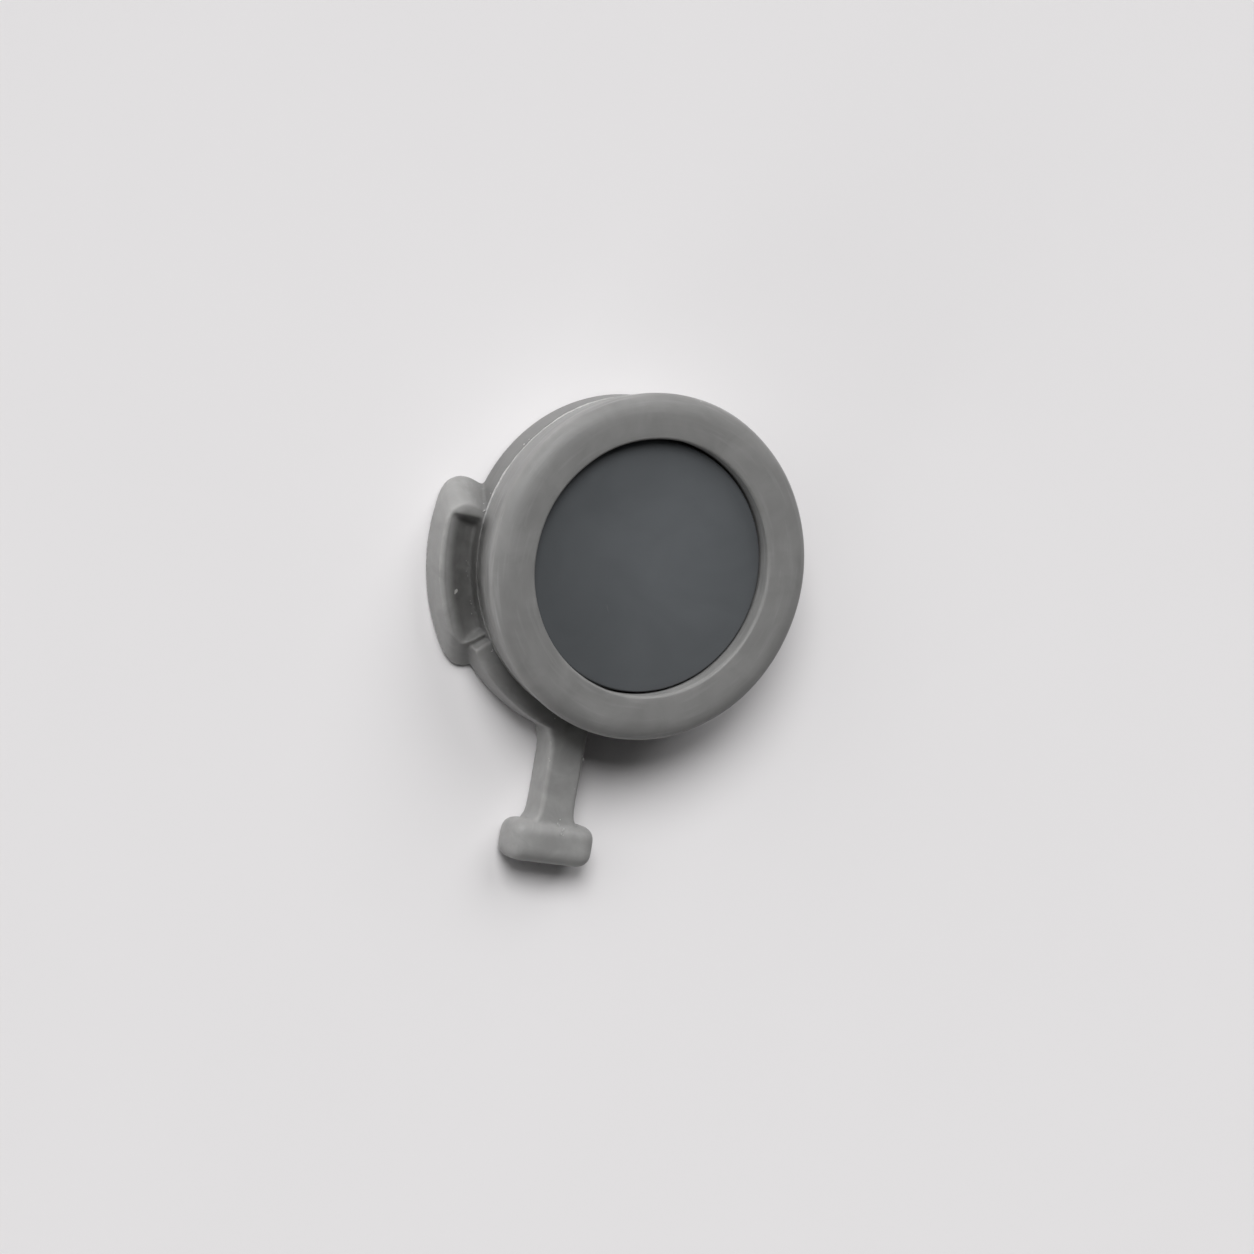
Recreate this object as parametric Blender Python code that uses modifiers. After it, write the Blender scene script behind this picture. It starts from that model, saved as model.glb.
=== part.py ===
"""Lid steam trap: a soft round plug with a dark press disc, a finger lug and a T-ended tether strap.

The plug lies on its back. Z is the disc's axis and points out of its face, z = 0 is the rear face, and the
strap leaves towards -Y. Everything is in metres. Two soft mouldings, a front rim and a rear collar, grip a
hard core. Inside the core, from the back, are a strainer, a loose trap disc under a ported seat plate, and
a hand vent: a stem that the press disc pushes down against a spring.
"""

import math

import bmesh
import bpy
from mathutils import Matrix, Vector

MM = 0.001

# Driving dimensions.
RIM_RADIUS = 15.0 * MM
TOTAL_HEIGHT = 8.6 * MM
SPLIT_HEIGHT = 3.4 * MM
WINDOW_RADIUS = 11.1 * MM
CORE_OUTER = 11.5 * MM
CORE_INNER = 10.45 * MM
CORE_TOP = 5.35 * MM
PRESS_TRAVEL = 0.65 * MM
GAP = 0.1 * MM
EDGE_BREAK = 0.15 * MM
SHARP_ANGLE = math.radians(40.0)
TINY = 1e-7

# Soft mouldings.
REAR_RADIUS = 14.0 * MM
SPLIT_RADIUS = 14.25 * MM
REAR_EDGE = 0.3 * MM
CROWN_WIDTH = 1.9 * MM
CROWN_DROP = 1.1 * MM
CROWN_STEPS = 8
ARM_STEPS = 8
ARM_ROOT_RADIUS = 13.2 * MM
LUG_RADIUS = 17.5 * MM
LUG_BACK_START = math.radians(170.3)
LUG_BACK_END = math.radians(232.0)
LUG_FRONT_START = math.radians(179.3)
LUG_FRONT_END = math.radians(222.0)
LUG_TOP = 3.0 * MM
LUG_ROOT_TOP = 2.1 * MM
LUG_EDGE = 0.3 * MM
LUG_CORNER = 1.7 * MM
LUG_CORNER_STEPS = 4
LUG_EDGE_STEPS = 2
FLANGE_RADIUS = 15.9 * MM
FLANGE_START = math.radians(222.0)
FLANGE_END = math.radians(268.0)
ARM_BOTTOM = 0.06 * MM
ARM_TOP = SPLIT_HEIGHT - 0.06 * MM

# Tether strap: it starts on the collar and runs a little off the radius.
STRAP_START = Vector((0.15 * MM, -15.9 * MM, 0.0))
STRAP_ANGLE = math.radians(-81.0)
STRAP_WIDTH = 3.3 * MM
STRAP_BOTTOM = 0.12 * MM
STRAP_TOP = 3.22 * MM
STRAP_ROOT_DEPTH = 2.0 * MM
HINGE_DISTANCE = 3.0 * MM
TOGGLE_DISTANCE = 9.4 * MM
TOGGLE_LENGTH = 8.0 * MM
TOGGLE_WIDTH = 3.6 * MM
TOGGLE_HEIGHT = 3.8 * MM
TOGGLE_EDGE = 1.0 * MM
TOGGLE_EDGE_STEPS = 4

# Core.
CORE_FLANGE_RADIUS = 12.9 * MM
CORE_FLANGE_BOTTOM = 3.05 * MM
CORE_FLANGE_TOP = 3.85 * MM
GROOVE_DEPTH = 0.35 * MM
LEDGE_RADIUS = 9.0 * MM
LEDGE_THICKNESS = 0.6 * MM
SHOULDER_RADIUS = 9.7 * MM
SHOULDER_HEIGHT = 0.75 * MM
INSERT_RADIUS = CORE_INNER - GAP

# Strainer, trap disc, seat and baffle.
RING_WIRE_RADIUS = 0.2 * MM
RING_OPENING = math.radians(34.0)
STRAINER_RING_LEVEL = 0.42 * MM
STRAINER_THICKNESS = 0.55 * MM
STRAINER_FOOT_RADIUS = 2.4 * MM
STRAINER_HOLE_RADIUS = 0.55 * MM
STRAINER_CIRCLES = ((3.9 * MM, 8), (6.2 * MM, 12), (8.5 * MM, 18))
MESH_THICKNESS = 0.15 * MM
TRAP_THICKNESS = 0.3 * MM
TRAP_HOLE_RADIUS = 3.6 * MM
TRAP_SIDE_PLAY = 0.15 * MM
GASKET_THICKNESS = 0.25 * MM
SEAT_THICKNESS = 0.7 * MM
SEAT_HOLE_RADIUS = 1.7 * MM
PORT_CIRCLES = ((6.4 * MM, 8),)
PORT_RADIUS = 0.65 * MM
BAFFLE_BASE = 0.35 * MM
BAFFLE_INNER = 8.3 * MM
TOOTH_COUNT = 12
TOOTH_SIZE = Vector((0.7 * MM, 2.2 * MM, 0.6 * MM))
TOOTH_OVERLAP = 0.1 * MM

# Hand vent.
DISC_RADIUS = 10.9 * MM
DISC_THICKNESS = 0.7 * MM
DISC_RECESS = 1.35 * MM
CARRIER_RADIUS = 10.0 * MM
CARRIER_THICKNESS = 0.55 * MM
CARRIER_SKIN = 0.2 * MM
BOSS_RADIUS = 2.0 * MM
BOSS_HEIGHT = 0.3 * MM
STEM_RADIUS = 1.0 * MM
STEM_GROOVE_RADIUS = 0.7 * MM
STEM_TAIL = 0.12 * MM
SEAL_RADIUS = 2.7 * MM
SEAL_THICKNESS = 0.5 * MM
CLIP_RADIUS = 1.9 * MM
CLIP_THICKNESS = 0.2 * MM
CLIP_MOUTH = 1.1 * MM
CLIP_CUT_HEIGHT = 1.0 * MM
CLIP_PLAY = 0.03 * MM
GUIDE_THICKNESS = 0.45 * MM
GUIDE_ARM_COUNT = 3
GUIDE_ARM_SIZE = Vector((1.9 * MM, 0.8 * MM, 0.35 * MM))
GUIDE_ARM_RADIUS = 2.6 * MM
GUIDE_ARM_LIFT = 0.05 * MM
SPRING_WIRE_RADIUS = 0.2 * MM
SPRING_BOTTOM_RADIUS = 4.3 * MM
SPRING_TOP_RADIUS = 2.7 * MM
SPRING_TURNS = 2.75
SPRING_FLAT_SHARE = 0.15

# Levels that follow, from the back to the front.
STRAINER_BOTTOM = STRAINER_RING_LEVEL + RING_WIRE_RADIUS + GAP
STRAINER_TOP = STRAINER_BOTTOM + STRAINER_THICKNESS
MESH_BOTTOM = STRAINER_TOP + GAP
LEDGE_BOTTOM = MESH_BOTTOM + MESH_THICKNESS + GAP
LEDGE_TOP = LEDGE_BOTTOM + LEDGE_THICKNESS
TRAP_BOTTOM = LEDGE_TOP + GAP
SHOULDER_TOP = LEDGE_TOP + SHOULDER_HEIGHT
GASKET_BOTTOM = SHOULDER_TOP + GAP
SEAT_BOTTOM = GASKET_BOTTOM + GASKET_THICKNESS + GAP
SEAT_TOP = SEAT_BOTTOM + SEAT_THICKNESS
BAFFLE_BOTTOM = SEAT_TOP + GAP
BAFFLE_TOP = BAFFLE_BOTTOM + BAFFLE_BASE
SEAT_RING_LEVEL = BAFFLE_TOP + GAP + RING_WIRE_RADIUS
DISC_TOP = TOTAL_HEIGHT - DISC_RECESS
CARRIER_TOP = DISC_TOP - DISC_THICKNESS - GAP
CARRIER_BOTTOM = CARRIER_TOP - CARRIER_THICKNESS
SEAL_TOP = SEAT_BOTTOM - GAP
CLIP_TOP = SEAL_TOP - SEAL_THICKNESS - GAP
CLIP_BOTTOM = CLIP_TOP - CLIP_THICKNESS

ROUND_STEPS = 48
SMALL_STEPS = 24
HOLE_SIDES = 8
RING_POINTS = 36
COIL_POINTS = 18


def new_collection(name):
    collection = bpy.data.collections.new(name)
    bpy.context.scene.collection.children.link(collection)
    return collection


def plain_material(name, colour, roughness, metallic=0.0):
    material = bpy.data.materials.new(name)
    material.use_nodes = True
    shader = material.node_tree.nodes["Principled BSDF"]
    shader.inputs["Base Color"].default_value = (*colour, 1.0)
    shader.inputs["Roughness"].default_value = roughness
    shader.inputs["Metallic"].default_value = metallic
    return material


def add_part(name, mesh, material):
    part = bpy.data.objects.new(name, mesh)
    PARTS.objects.link(part)
    mesh.materials.append(material)
    return part


def add_cutter(name, bm):
    """A helper shape for a Boolean, which is left out of the finished object."""
    cutter = bpy.data.objects.new(name, mesh_from(name, bm))
    CUTTERS.objects.link(cutter)
    cutter.hide_render = True
    cutter.display_type = "WIRE"
    return cutter


def mesh_from(name, bm):
    bmesh.ops.recalc_face_normals(bm, faces=bm.faces)
    mesh = bpy.data.meshes.new(name)
    bm.to_mesh(mesh)
    bm.free()
    return mesh


def turned(name, profile, material, steps=ROUND_STEPS, closed=True):
    """A profile of (radius, z) points, its outer side running down, turned about Z."""
    mesh = bpy.data.meshes.new(name)
    count = len(profile)
    edges = [(i, (i + 1) % count) for i in range(count if closed else count - 1)]
    mesh.from_pydata([(radius, 0.0, z) for radius, z in profile], edges, [])
    part = add_part(name, mesh, material)
    screw = part.modifiers.new("turn", "SCREW")
    screw.angle = math.tau
    screw.steps = screw.render_steps = steps
    screw.use_merge_vertices = True
    screw.merge_threshold = TINY
    screw.use_smooth_shade = True
    return part


def washer(name, inner, outer, bottom, top, material, steps=ROUND_STEPS):
    """A flat ring with square edges, or a disc where inner is 0."""
    if inner:
        profile = [(inner, top), (outer, top), (outer, bottom), (inner, bottom)]
        return turned(name, profile, material, steps)
    profile = [(0.0, top), (outer, top), (outer, bottom), (0.0, bottom)]
    return turned(name, profile, material, steps, closed=False)


def boolean(part, other, operation):
    modifier = part.modifiers.new(operation.lower(), "BOOLEAN")
    modifier.operation = operation
    modifier.object = other
    modifier.solver = "EXACT"


def on_circle(radius, angle, z=0.0):
    return Vector((radius * math.cos(angle), radius * math.sin(angle), z))


def turned_place(share, offset):
    """A place at an offset from the axis, turned about Z by a share of a full turn."""
    return Matrix.Rotation(math.tau * share, 4, "Z") @ Matrix.Translation(offset)


def add_block(bm, place, size):
    bmesh.ops.create_cube(bm, size=1.0, matrix=place @ Matrix.Diagonal((*size, 1.0)))


def cut_and_close(bm, point, normal):
    """Cuts away what lies beyond a plane and fills the open side."""
    everything = bm.verts[:] + bm.edges[:] + bm.faces[:]
    bmesh.ops.bisect_plane(
        bm, geom=everything, plane_co=point, plane_no=normal, clear_outer=True, dist=TINY
    )
    bmesh.ops.edgeloop_fill(bm, edges=[e for e in bm.edges if e.is_boundary])


def drill(part, circles, radius):
    """Upright holes through a plate, on circles given as (circle radius, number of holes)."""
    bm = bmesh.new()
    for circle, count in circles:
        for i in range(count):
            centre = on_circle(circle, math.tau * i / count, TOTAL_HEIGHT / 2)
            bmesh.ops.create_cone(
                bm, cap_ends=True, segments=HOLE_SIDES, radius1=radius, radius2=radius,
                depth=TOTAL_HEIGHT, matrix=Matrix.Translation(centre),
            )
    boolean(part, add_cutter(part.name + "_holes", bm), "DIFFERENCE")


def arm(outer, start, end, top, root_top):
    """A thick arc that stands out from the collar. Its front may sink towards its root."""
    section = [
        (ARM_ROOT_RADIUS, ARM_BOTTOM), (outer, ARM_BOTTOM), (outer, top), (ARM_ROOT_RADIUS, root_top)
    ]
    bm = bmesh.new()
    turn = Matrix.Rotation(start, 3, "Z")
    face = bm.faces.new([bm.verts.new(turn @ Vector((radius, 0.0, z))) for radius, z in section])
    bmesh.ops.spin(bm, geom=[face], axis=(0, 0, 1), cent=(0, 0, 0), angle=end - start, steps=ARM_STEPS)
    bmesh.ops.recalc_face_normals(bm, faces=bm.faces)
    return bm


def ellipse_arc(centre, radii, start, end, count):
    """Points on an ellipse from the start angle to the end angle, both ends included."""
    angles = [start + (end - start) * i / count for i in range(count + 1)]
    return [(centre[0] + radii[0] * math.cos(a), centre[1] + radii[1] * math.sin(a)) for a in angles]


def make_bezel_ring():
    """The front rim: a crowned soft ring around the window, with a pocket behind it for the core."""
    crown_centre = (RIM_RADIUS - CROWN_WIDTH, TOTAL_HEIGHT - CROWN_DROP)
    pocket = CORE_OUTER + GAP
    flange_pocket = CORE_FLANGE_RADIUS + GAP
    profile = [(WINDOW_RADIUS, TOTAL_HEIGHT - EDGE_BREAK), (WINDOW_RADIUS + EDGE_BREAK, TOTAL_HEIGHT)]
    profile += ellipse_arc(crown_centre, (CROWN_WIDTH, CROWN_DROP), math.pi / 2, 0.0, CROWN_STEPS)
    profile += [(SPLIT_RADIUS, SPLIT_HEIGHT + GAP), (flange_pocket, SPLIT_HEIGHT + GAP)]
    profile += [(flange_pocket, CORE_FLANGE_TOP + GAP), (pocket, CORE_FLANGE_TOP + GAP)]
    profile += [(pocket, CORE_TOP + GAP), (WINDOW_RADIUS, CORE_TOP + GAP)]
    turned("bezel_ring", profile, SILICONE)


def make_lug():
    """The finger lug: a thick arc, longer at the back than at the front, so that its two ends slope.

    Its front sinks towards the collar, for a fingertip.
    """
    bm = arm(LUG_RADIUS, LUG_BACK_START, LUG_BACK_END, LUG_TOP, LUG_ROOT_TOP)
    for vert in bm.verts:
        if vert.co.z > SPLIT_HEIGHT / 2:
            angle = math.atan2(vert.co.y, vert.co.x) % math.tau
            share = (angle - LUG_BACK_START) / (LUG_BACK_END - LUG_BACK_START)
            moved = LUG_FRONT_START + (LUG_FRONT_END - LUG_FRONT_START) * share
            vert.co = Matrix.Rotation(moved - angle, 3, "Z") @ vert.co
    corners = [
        edge for edge in bm.edges
        if min(vert.co.xy.length for vert in edge.verts) > LUG_RADIUS - GAP
        and abs(edge.verts[0].co.z - edge.verts[1].co.z) > SPLIT_HEIGHT / 2
        and edge.calc_face_angle() > SHARP_ANGLE
    ]
    bmesh.ops.bevel(
        bm, geom=corners, offset=LUG_CORNER, offset_type="OFFSET", segments=LUG_CORNER_STEPS, profile=0.5,
        affect="EDGES", material=-1,
    )
    lug = add_cutter("lug_shape", bm)
    rounding = lug.modifiers.new("round", "BEVEL")
    rounding.width = LUG_EDGE
    rounding.segments = LUG_EDGE_STEPS
    rounding.angle_limit = SHARP_ANGLE
    return lug


def strap_frame(distance, z):
    """The matrix of a point on the strap's centre line: its X runs along the strap and its Z is up."""
    place = STRAP_START + on_circle(distance, STRAP_ANGLE, z)
    return Matrix.Translation(place) @ Matrix.Rotation(STRAP_ANGLE, 4, "Z")


def make_strap_stub():
    """The fixed end of the strap, from inside the collar to just before the bend."""
    start = -STRAP_ROOT_DEPTH
    end = HINGE_DISTANCE - (STRAP_TOP - STRAP_BOTTOM) / 2 - GAP
    bm = bmesh.new()
    middle = strap_frame((start + end) / 2, (STRAP_BOTTOM + STRAP_TOP) / 2)
    add_block(bm, middle, (end - start, STRAP_WIDTH, STRAP_TOP - STRAP_BOTTOM))
    return add_cutter("strap_stub", bm)


def make_tether_collar():
    """The rear ring with the finger lug, the narrow flange beside it and the fixed end of the strap."""
    bore = CORE_OUTER + GAP
    flange_pocket = CORE_FLANGE_RADIUS + GAP
    profile = [(flange_pocket, SPLIT_HEIGHT), (SPLIT_RADIUS, SPLIT_HEIGHT), (REAR_RADIUS, REAR_EDGE)]
    profile += [(REAR_RADIUS - REAR_EDGE, 0.0), (bore, 0.0)]
    profile += [(bore, CORE_FLANGE_BOTTOM - GAP), (flange_pocket, CORE_FLANGE_BOTTOM - GAP)]
    collar = turned("tether_collar", profile, SILICONE)
    boolean(collar, make_lug(), "UNION")
    flange = add_cutter("flange_shape", arm(FLANGE_RADIUS, FLANGE_START, FLANGE_END, ARM_TOP, ARM_TOP))
    boolean(collar, flange, "UNION")
    boolean(collar, make_strap_stub(), "UNION")


def make_tether():
    """The strap's free half, round at its hinge end, and the toggle bar across its tip."""
    middle = (STRAP_BOTTOM + STRAP_TOP) / 2
    hinge = bpy.data.objects.new("tether_hinge", None)
    PARTS.objects.link(hinge)
    hinge.matrix_world = strap_frame(HINGE_DISTANCE, middle)

    half = (STRAP_TOP - STRAP_BOTTOM) / 2
    reach = TOGGLE_DISTANCE - TOGGLE_WIDTH / 2 - GAP - HINGE_DISTANCE
    bm = bmesh.new()
    bmesh.ops.create_cone(
        bm, cap_ends=True, segments=SMALL_STEPS, radius1=half, radius2=half, depth=STRAP_WIDTH,
        matrix=Matrix.Rotation(math.pi / 2, 4, "X"),
    )
    cut_and_close(bm, (0, 0, 0), (1, 0, 0))
    flat = [face for face in bm.faces if all(abs(v.co.x) < TINY for v in face.verts)]
    grown = bmesh.ops.extrude_face_region(bm, geom=flat)["geom"]
    far = [v for v in grown if isinstance(v, bmesh.types.BMVert)]
    bmesh.ops.translate(bm, verts=far, vec=(reach, 0, 0))
    bmesh.ops.delete(bm, geom=flat, context="FACES_ONLY")
    strap = add_part("tether_strap", mesh_from("tether_strap", bm), SILICONE)
    strap.parent = hinge

    bm = bmesh.new()
    add_block(bm, Matrix.Identity(4), (TOGGLE_WIDTH, TOGGLE_LENGTH, TOGGLE_HEIGHT))
    toggle = add_part("tether_toggle", mesh_from("tether_toggle", bm), SILICONE)
    toggle.parent = hinge
    toggle.location = (TOGGLE_DISTANCE - HINGE_DISTANCE, 0.0, TOGGLE_HEIGHT / 2 - middle)
    rounding = toggle.modifiers.new("round", "BEVEL")
    rounding.width = TOGGLE_EDGE
    rounding.segments = TOGGLE_EDGE_STEPS


def ring_groove(level):
    """A square groove for a wire ring in the core's bore, as (radius, z) points going up."""
    half = RING_WIRE_RADIUS + GAP / 2
    deep = CORE_INNER + GROOVE_DEPTH
    return [(CORE_INNER, level - half), (deep, level - half), (deep, level + half), (CORE_INNER, level + half)]


def make_core_body():
    """The hard tube that both soft rings grip, with a flange between them and ledges inside."""
    profile = [(CORE_INNER, CORE_TOP), (CORE_OUTER, CORE_TOP), (CORE_OUTER, CORE_FLANGE_TOP)]
    profile += [(CORE_FLANGE_RADIUS, CORE_FLANGE_TOP), (CORE_FLANGE_RADIUS, CORE_FLANGE_BOTTOM)]
    profile += [(CORE_OUTER, CORE_FLANGE_BOTTOM), (CORE_OUTER, 0.0), (CORE_INNER, 0.0)]
    profile += ring_groove(STRAINER_RING_LEVEL)
    profile += [(CORE_INNER, LEDGE_BOTTOM), (LEDGE_RADIUS, LEDGE_BOTTOM), (LEDGE_RADIUS, LEDGE_TOP)]
    profile += [(SHOULDER_RADIUS, LEDGE_TOP), (SHOULDER_RADIUS, SHOULDER_TOP), (CORE_INNER, SHOULDER_TOP)]
    profile += ring_groove(SEAT_RING_LEVEL)
    turned("core_body", profile, CORE_NYLON)


def wire(name, points, radius, material):
    curve = bpy.data.curves.new(name, "CURVE")
    curve.dimensions = "3D"
    curve.bevel_depth = radius
    curve.bevel_resolution = 2
    curve.use_fill_caps = True
    spline = curve.splines.new("POLY")
    spline.points.add(len(points) - 1)
    for slot, point in zip(spline.points, points):
        slot.co = (*point, 1.0)
    curve.materials.append(material)
    PARTS.objects.link(bpy.data.objects.new(name, curve))


def make_snap_ring(name, level):
    """An open ring of round wire, half in its groove."""
    sweep = math.tau - RING_OPENING
    angles = [RING_OPENING / 2 + sweep * i / RING_POINTS for i in range(RING_POINTS + 1)]
    wire(name, [on_circle(CORE_INNER, angle, level) for angle in angles], RING_WIRE_RADIUS, STEEL)


def make_strainer():
    """The perforated rear plate with its middle foot, the fine mesh above it and the ring that holds them."""
    profile = [(0.0, STRAINER_TOP), (INSERT_RADIUS, STRAINER_TOP), (INSERT_RADIUS, STRAINER_BOTTOM)]
    profile += [(STRAINER_FOOT_RADIUS, STRAINER_BOTTOM), (STRAINER_FOOT_RADIUS, 0.0), (0.0, 0.0)]
    plate = turned("strainer_plate", profile, CORE_NYLON, closed=False)
    drill(plate, STRAINER_CIRCLES, STRAINER_HOLE_RADIUS)
    washer("strainer_mesh", 0.0, INSERT_RADIUS, MESH_BOTTOM, MESH_BOTTOM + MESH_THICKNESS, STEEL)
    make_snap_ring("strainer_ring", STRAINER_RING_LEVEL)


def make_trap_disc():
    """The loose ring-shaped disc that steam lifts against the seat plate's ports."""
    outer = SHOULDER_RADIUS - TRAP_SIDE_PLAY
    washer("trap_disc", TRAP_HOLE_RADIUS, outer, TRAP_BOTTOM, TRAP_BOTTOM + TRAP_THICKNESS, STEEL)


def make_seat():
    """The gasket on the core's shoulder and the ported plate on it."""
    gasket_top = GASKET_BOTTOM + GASKET_THICKNESS
    washer("seat_gasket", SHOULDER_RADIUS, INSERT_RADIUS, GASKET_BOTTOM, gasket_top, SILICONE)
    plate = washer("seat_plate", SEAT_HOLE_RADIUS, INSERT_RADIUS, SEAT_BOTTOM, SEAT_TOP, CORE_NYLON)
    drill(plate, PORT_CIRCLES, PORT_RADIUS)


def make_stem_guide():
    """The bush that keeps the stem upright, on three arms that stand on the seat plate."""
    bottom = SEAT_TOP + GAP
    top = bottom + GUIDE_THICKNESS
    guide = washer("stem_guide", STEM_RADIUS + GAP, BOSS_RADIUS, bottom, top, BRASS, SMALL_STEPS)
    bm = bmesh.new()
    offset = Vector((GUIDE_ARM_RADIUS, 0.0, bottom + GUIDE_ARM_LIFT + GUIDE_ARM_SIZE.z / 2))
    for i in range(GUIDE_ARM_COUNT):
        add_block(bm, turned_place(i / GUIDE_ARM_COUNT, offset), GUIDE_ARM_SIZE)
    boolean(guide, add_cutter("guide_arms", bm), "UNION")


def make_baffle():
    """The toothed ring that knocks water out of the steam, and the wire ring that keeps it down."""
    baffle = washer("baffle_ring", BAFFLE_INNER, INSERT_RADIUS, BAFFLE_BOTTOM, BAFFLE_TOP, CORE_NYLON)
    middle = BAFFLE_TOP - TOOTH_OVERLAP + TOOTH_SIZE.z / 2
    bm = bmesh.new()
    for i in range(TOOTH_COUNT):
        place = turned_place(i / TOOTH_COUNT, Vector((BAFFLE_INNER + TOOTH_SIZE.x, 0.0, middle)))
        add_block(bm, place, TOOTH_SIZE)
    boolean(baffle, add_cutter("baffle_teeth", bm), "UNION")
    make_snap_ring("retaining_ring", SEAT_RING_LEVEL)


def make_press_disc():
    """The dark disc in the window and the carrier behind it, whose boss takes the stem."""
    bottom = DISC_TOP - DISC_THICKNESS
    profile = [(0.0, DISC_TOP), (DISC_RADIUS - EDGE_BREAK, DISC_TOP), (DISC_RADIUS, DISC_TOP - EDGE_BREAK)]
    profile += [(DISC_RADIUS, bottom), (0.0, bottom)]
    turned("face_disc", profile, DISC_PLASTIC, closed=False)

    socket = STEM_RADIUS + GAP
    socket_top = CARRIER_TOP - CARRIER_SKIN
    boss_bottom = CARRIER_BOTTOM - BOSS_HEIGHT
    profile = [(0.0, CARRIER_TOP), (CARRIER_RADIUS, CARRIER_TOP), (CARRIER_RADIUS, CARRIER_BOTTOM)]
    profile += [(BOSS_RADIUS, CARRIER_BOTTOM), (BOSS_RADIUS, boss_bottom), (socket, boss_bottom)]
    profile += [(socket, socket_top), (0.0, socket_top)]
    turned("disc_carrier", profile, CORE_NYLON, closed=False)


def make_stem():
    """The stem, grooved for the clip that holds the seal against the seat plate's underside."""
    top = CARRIER_TOP - CARRIER_SKIN - GAP
    tail = CLIP_BOTTOM - STEM_TAIL
    groove_top = CLIP_TOP + CLIP_PLAY
    groove_bottom = CLIP_BOTTOM - CLIP_PLAY
    profile = [(0.0, top), (STEM_RADIUS, top), (STEM_RADIUS, groove_top), (STEM_GROOVE_RADIUS, groove_top)]
    profile += [(STEM_GROOVE_RADIUS, groove_bottom), (STEM_RADIUS, groove_bottom)]
    profile += [(STEM_RADIUS, tail), (0.0, tail)]
    turned("valve_stem", profile, STEEL, SMALL_STEPS, closed=False)
    inner = STEM_RADIUS + CLIP_PLAY
    bottom = SEAL_TOP - SEAL_THICKNESS
    washer("seal_washer", inner, SEAL_RADIUS, bottom, SEAL_TOP, SILICONE, SMALL_STEPS)
    inner = STEM_GROOVE_RADIUS + CLIP_PLAY
    clip = washer("stem_clip", inner, CLIP_RADIUS, CLIP_BOTTOM, CLIP_TOP, STEEL, SMALL_STEPS)
    bm = bmesh.new()
    mouth = Matrix.Translation((CLIP_RADIUS, 0.0, CLIP_TOP))
    add_block(bm, mouth, (CLIP_RADIUS * 2, CLIP_MOUTH, CLIP_CUT_HEIGHT))
    boolean(clip, add_cutter("clip_mouth", bm), "DIFFERENCE")


def make_return_spring():
    """A cone-shaped coil between the seat plate and the carrier, with a flat turn at each end."""
    low = SEAT_TOP + GAP + SPRING_WIRE_RADIUS
    high = CARRIER_BOTTOM - GAP - SPRING_WIRE_RADIUS
    count = round(SPRING_TURNS * COIL_POINTS)
    points = []
    for i in range(count + 1):
        share = i / count
        radius = SPRING_BOTTOM_RADIUS + (SPRING_TOP_RADIUS - SPRING_BOTTOM_RADIUS) * share
        climb = (share - SPRING_FLAT_SHARE) / (1.0 - 2 * SPRING_FLAT_SHARE)
        level = low + (high - low) * max(0.0, min(1.0, climb))
        points.append(on_circle(radius, math.tau * SPRING_TURNS * share, level))
    wire("return_spring", points, SPRING_WIRE_RADIUS, STEEL)


for leftover in list(bpy.data.objects):
    bpy.data.objects.remove(leftover)
PARTS = new_collection("steam_trap")
CUTTERS = new_collection("cutters")
SILICONE = plain_material("grey silicone", (0.185, 0.182, 0.178), 0.55)
DISC_PLASTIC = plain_material("dark grey plastic", (0.10, 0.103, 0.112), 0.5)
CORE_NYLON = plain_material("pale grey nylon", (0.42, 0.42, 0.40), 0.5)
STEEL = plain_material("stainless steel", (0.62, 0.62, 0.60), 0.3, 1.0)
BRASS = plain_material("brass", (0.62, 0.45, 0.20), 0.35, 1.0)

make_bezel_ring()
make_tether_collar()
make_tether()
make_core_body()
make_strainer()
make_trap_disc()
make_seat()
make_stem_guide()
make_baffle()
make_press_disc()
make_stem()
make_return_spring()
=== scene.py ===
# %% [markdown]
# # A small steam trap for a lid
# A soft silicone plug with a dark press disc in its window, a finger lug on one side and a short tether strap
# that ends in a T-shaped toggle. The hard parts were made first as CAD and are loaded here as a fixed frame.
# This notebook puts the real shapes and finishes around that frame: rounded soft mouldings, a fin of flash
# along their joint, a fine matt plastic disc, and the wire, mesh and turned parts inside.
# Everything is in metres, and Z points out of the disc's face.

# %% Load the frame and keep its box
import math
import random

import bmesh
import bpy
from mathutils import Matrix, Vector, noise


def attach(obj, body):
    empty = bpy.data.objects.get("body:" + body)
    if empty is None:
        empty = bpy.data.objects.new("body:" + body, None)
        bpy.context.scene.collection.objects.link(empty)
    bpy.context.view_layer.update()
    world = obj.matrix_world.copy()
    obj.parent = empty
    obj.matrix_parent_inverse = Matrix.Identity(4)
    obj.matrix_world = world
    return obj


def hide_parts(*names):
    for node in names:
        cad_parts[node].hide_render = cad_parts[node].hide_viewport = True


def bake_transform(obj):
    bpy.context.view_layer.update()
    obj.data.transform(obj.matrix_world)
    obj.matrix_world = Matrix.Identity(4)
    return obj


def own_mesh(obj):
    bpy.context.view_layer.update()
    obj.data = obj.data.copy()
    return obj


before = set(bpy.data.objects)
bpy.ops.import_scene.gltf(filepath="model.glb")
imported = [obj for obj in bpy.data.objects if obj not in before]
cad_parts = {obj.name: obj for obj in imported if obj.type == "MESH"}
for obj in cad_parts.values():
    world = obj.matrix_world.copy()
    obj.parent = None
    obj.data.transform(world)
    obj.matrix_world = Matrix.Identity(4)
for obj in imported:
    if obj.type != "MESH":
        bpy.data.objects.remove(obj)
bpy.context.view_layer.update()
MM = 0.001
SCENE = bpy.context.scene

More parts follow.
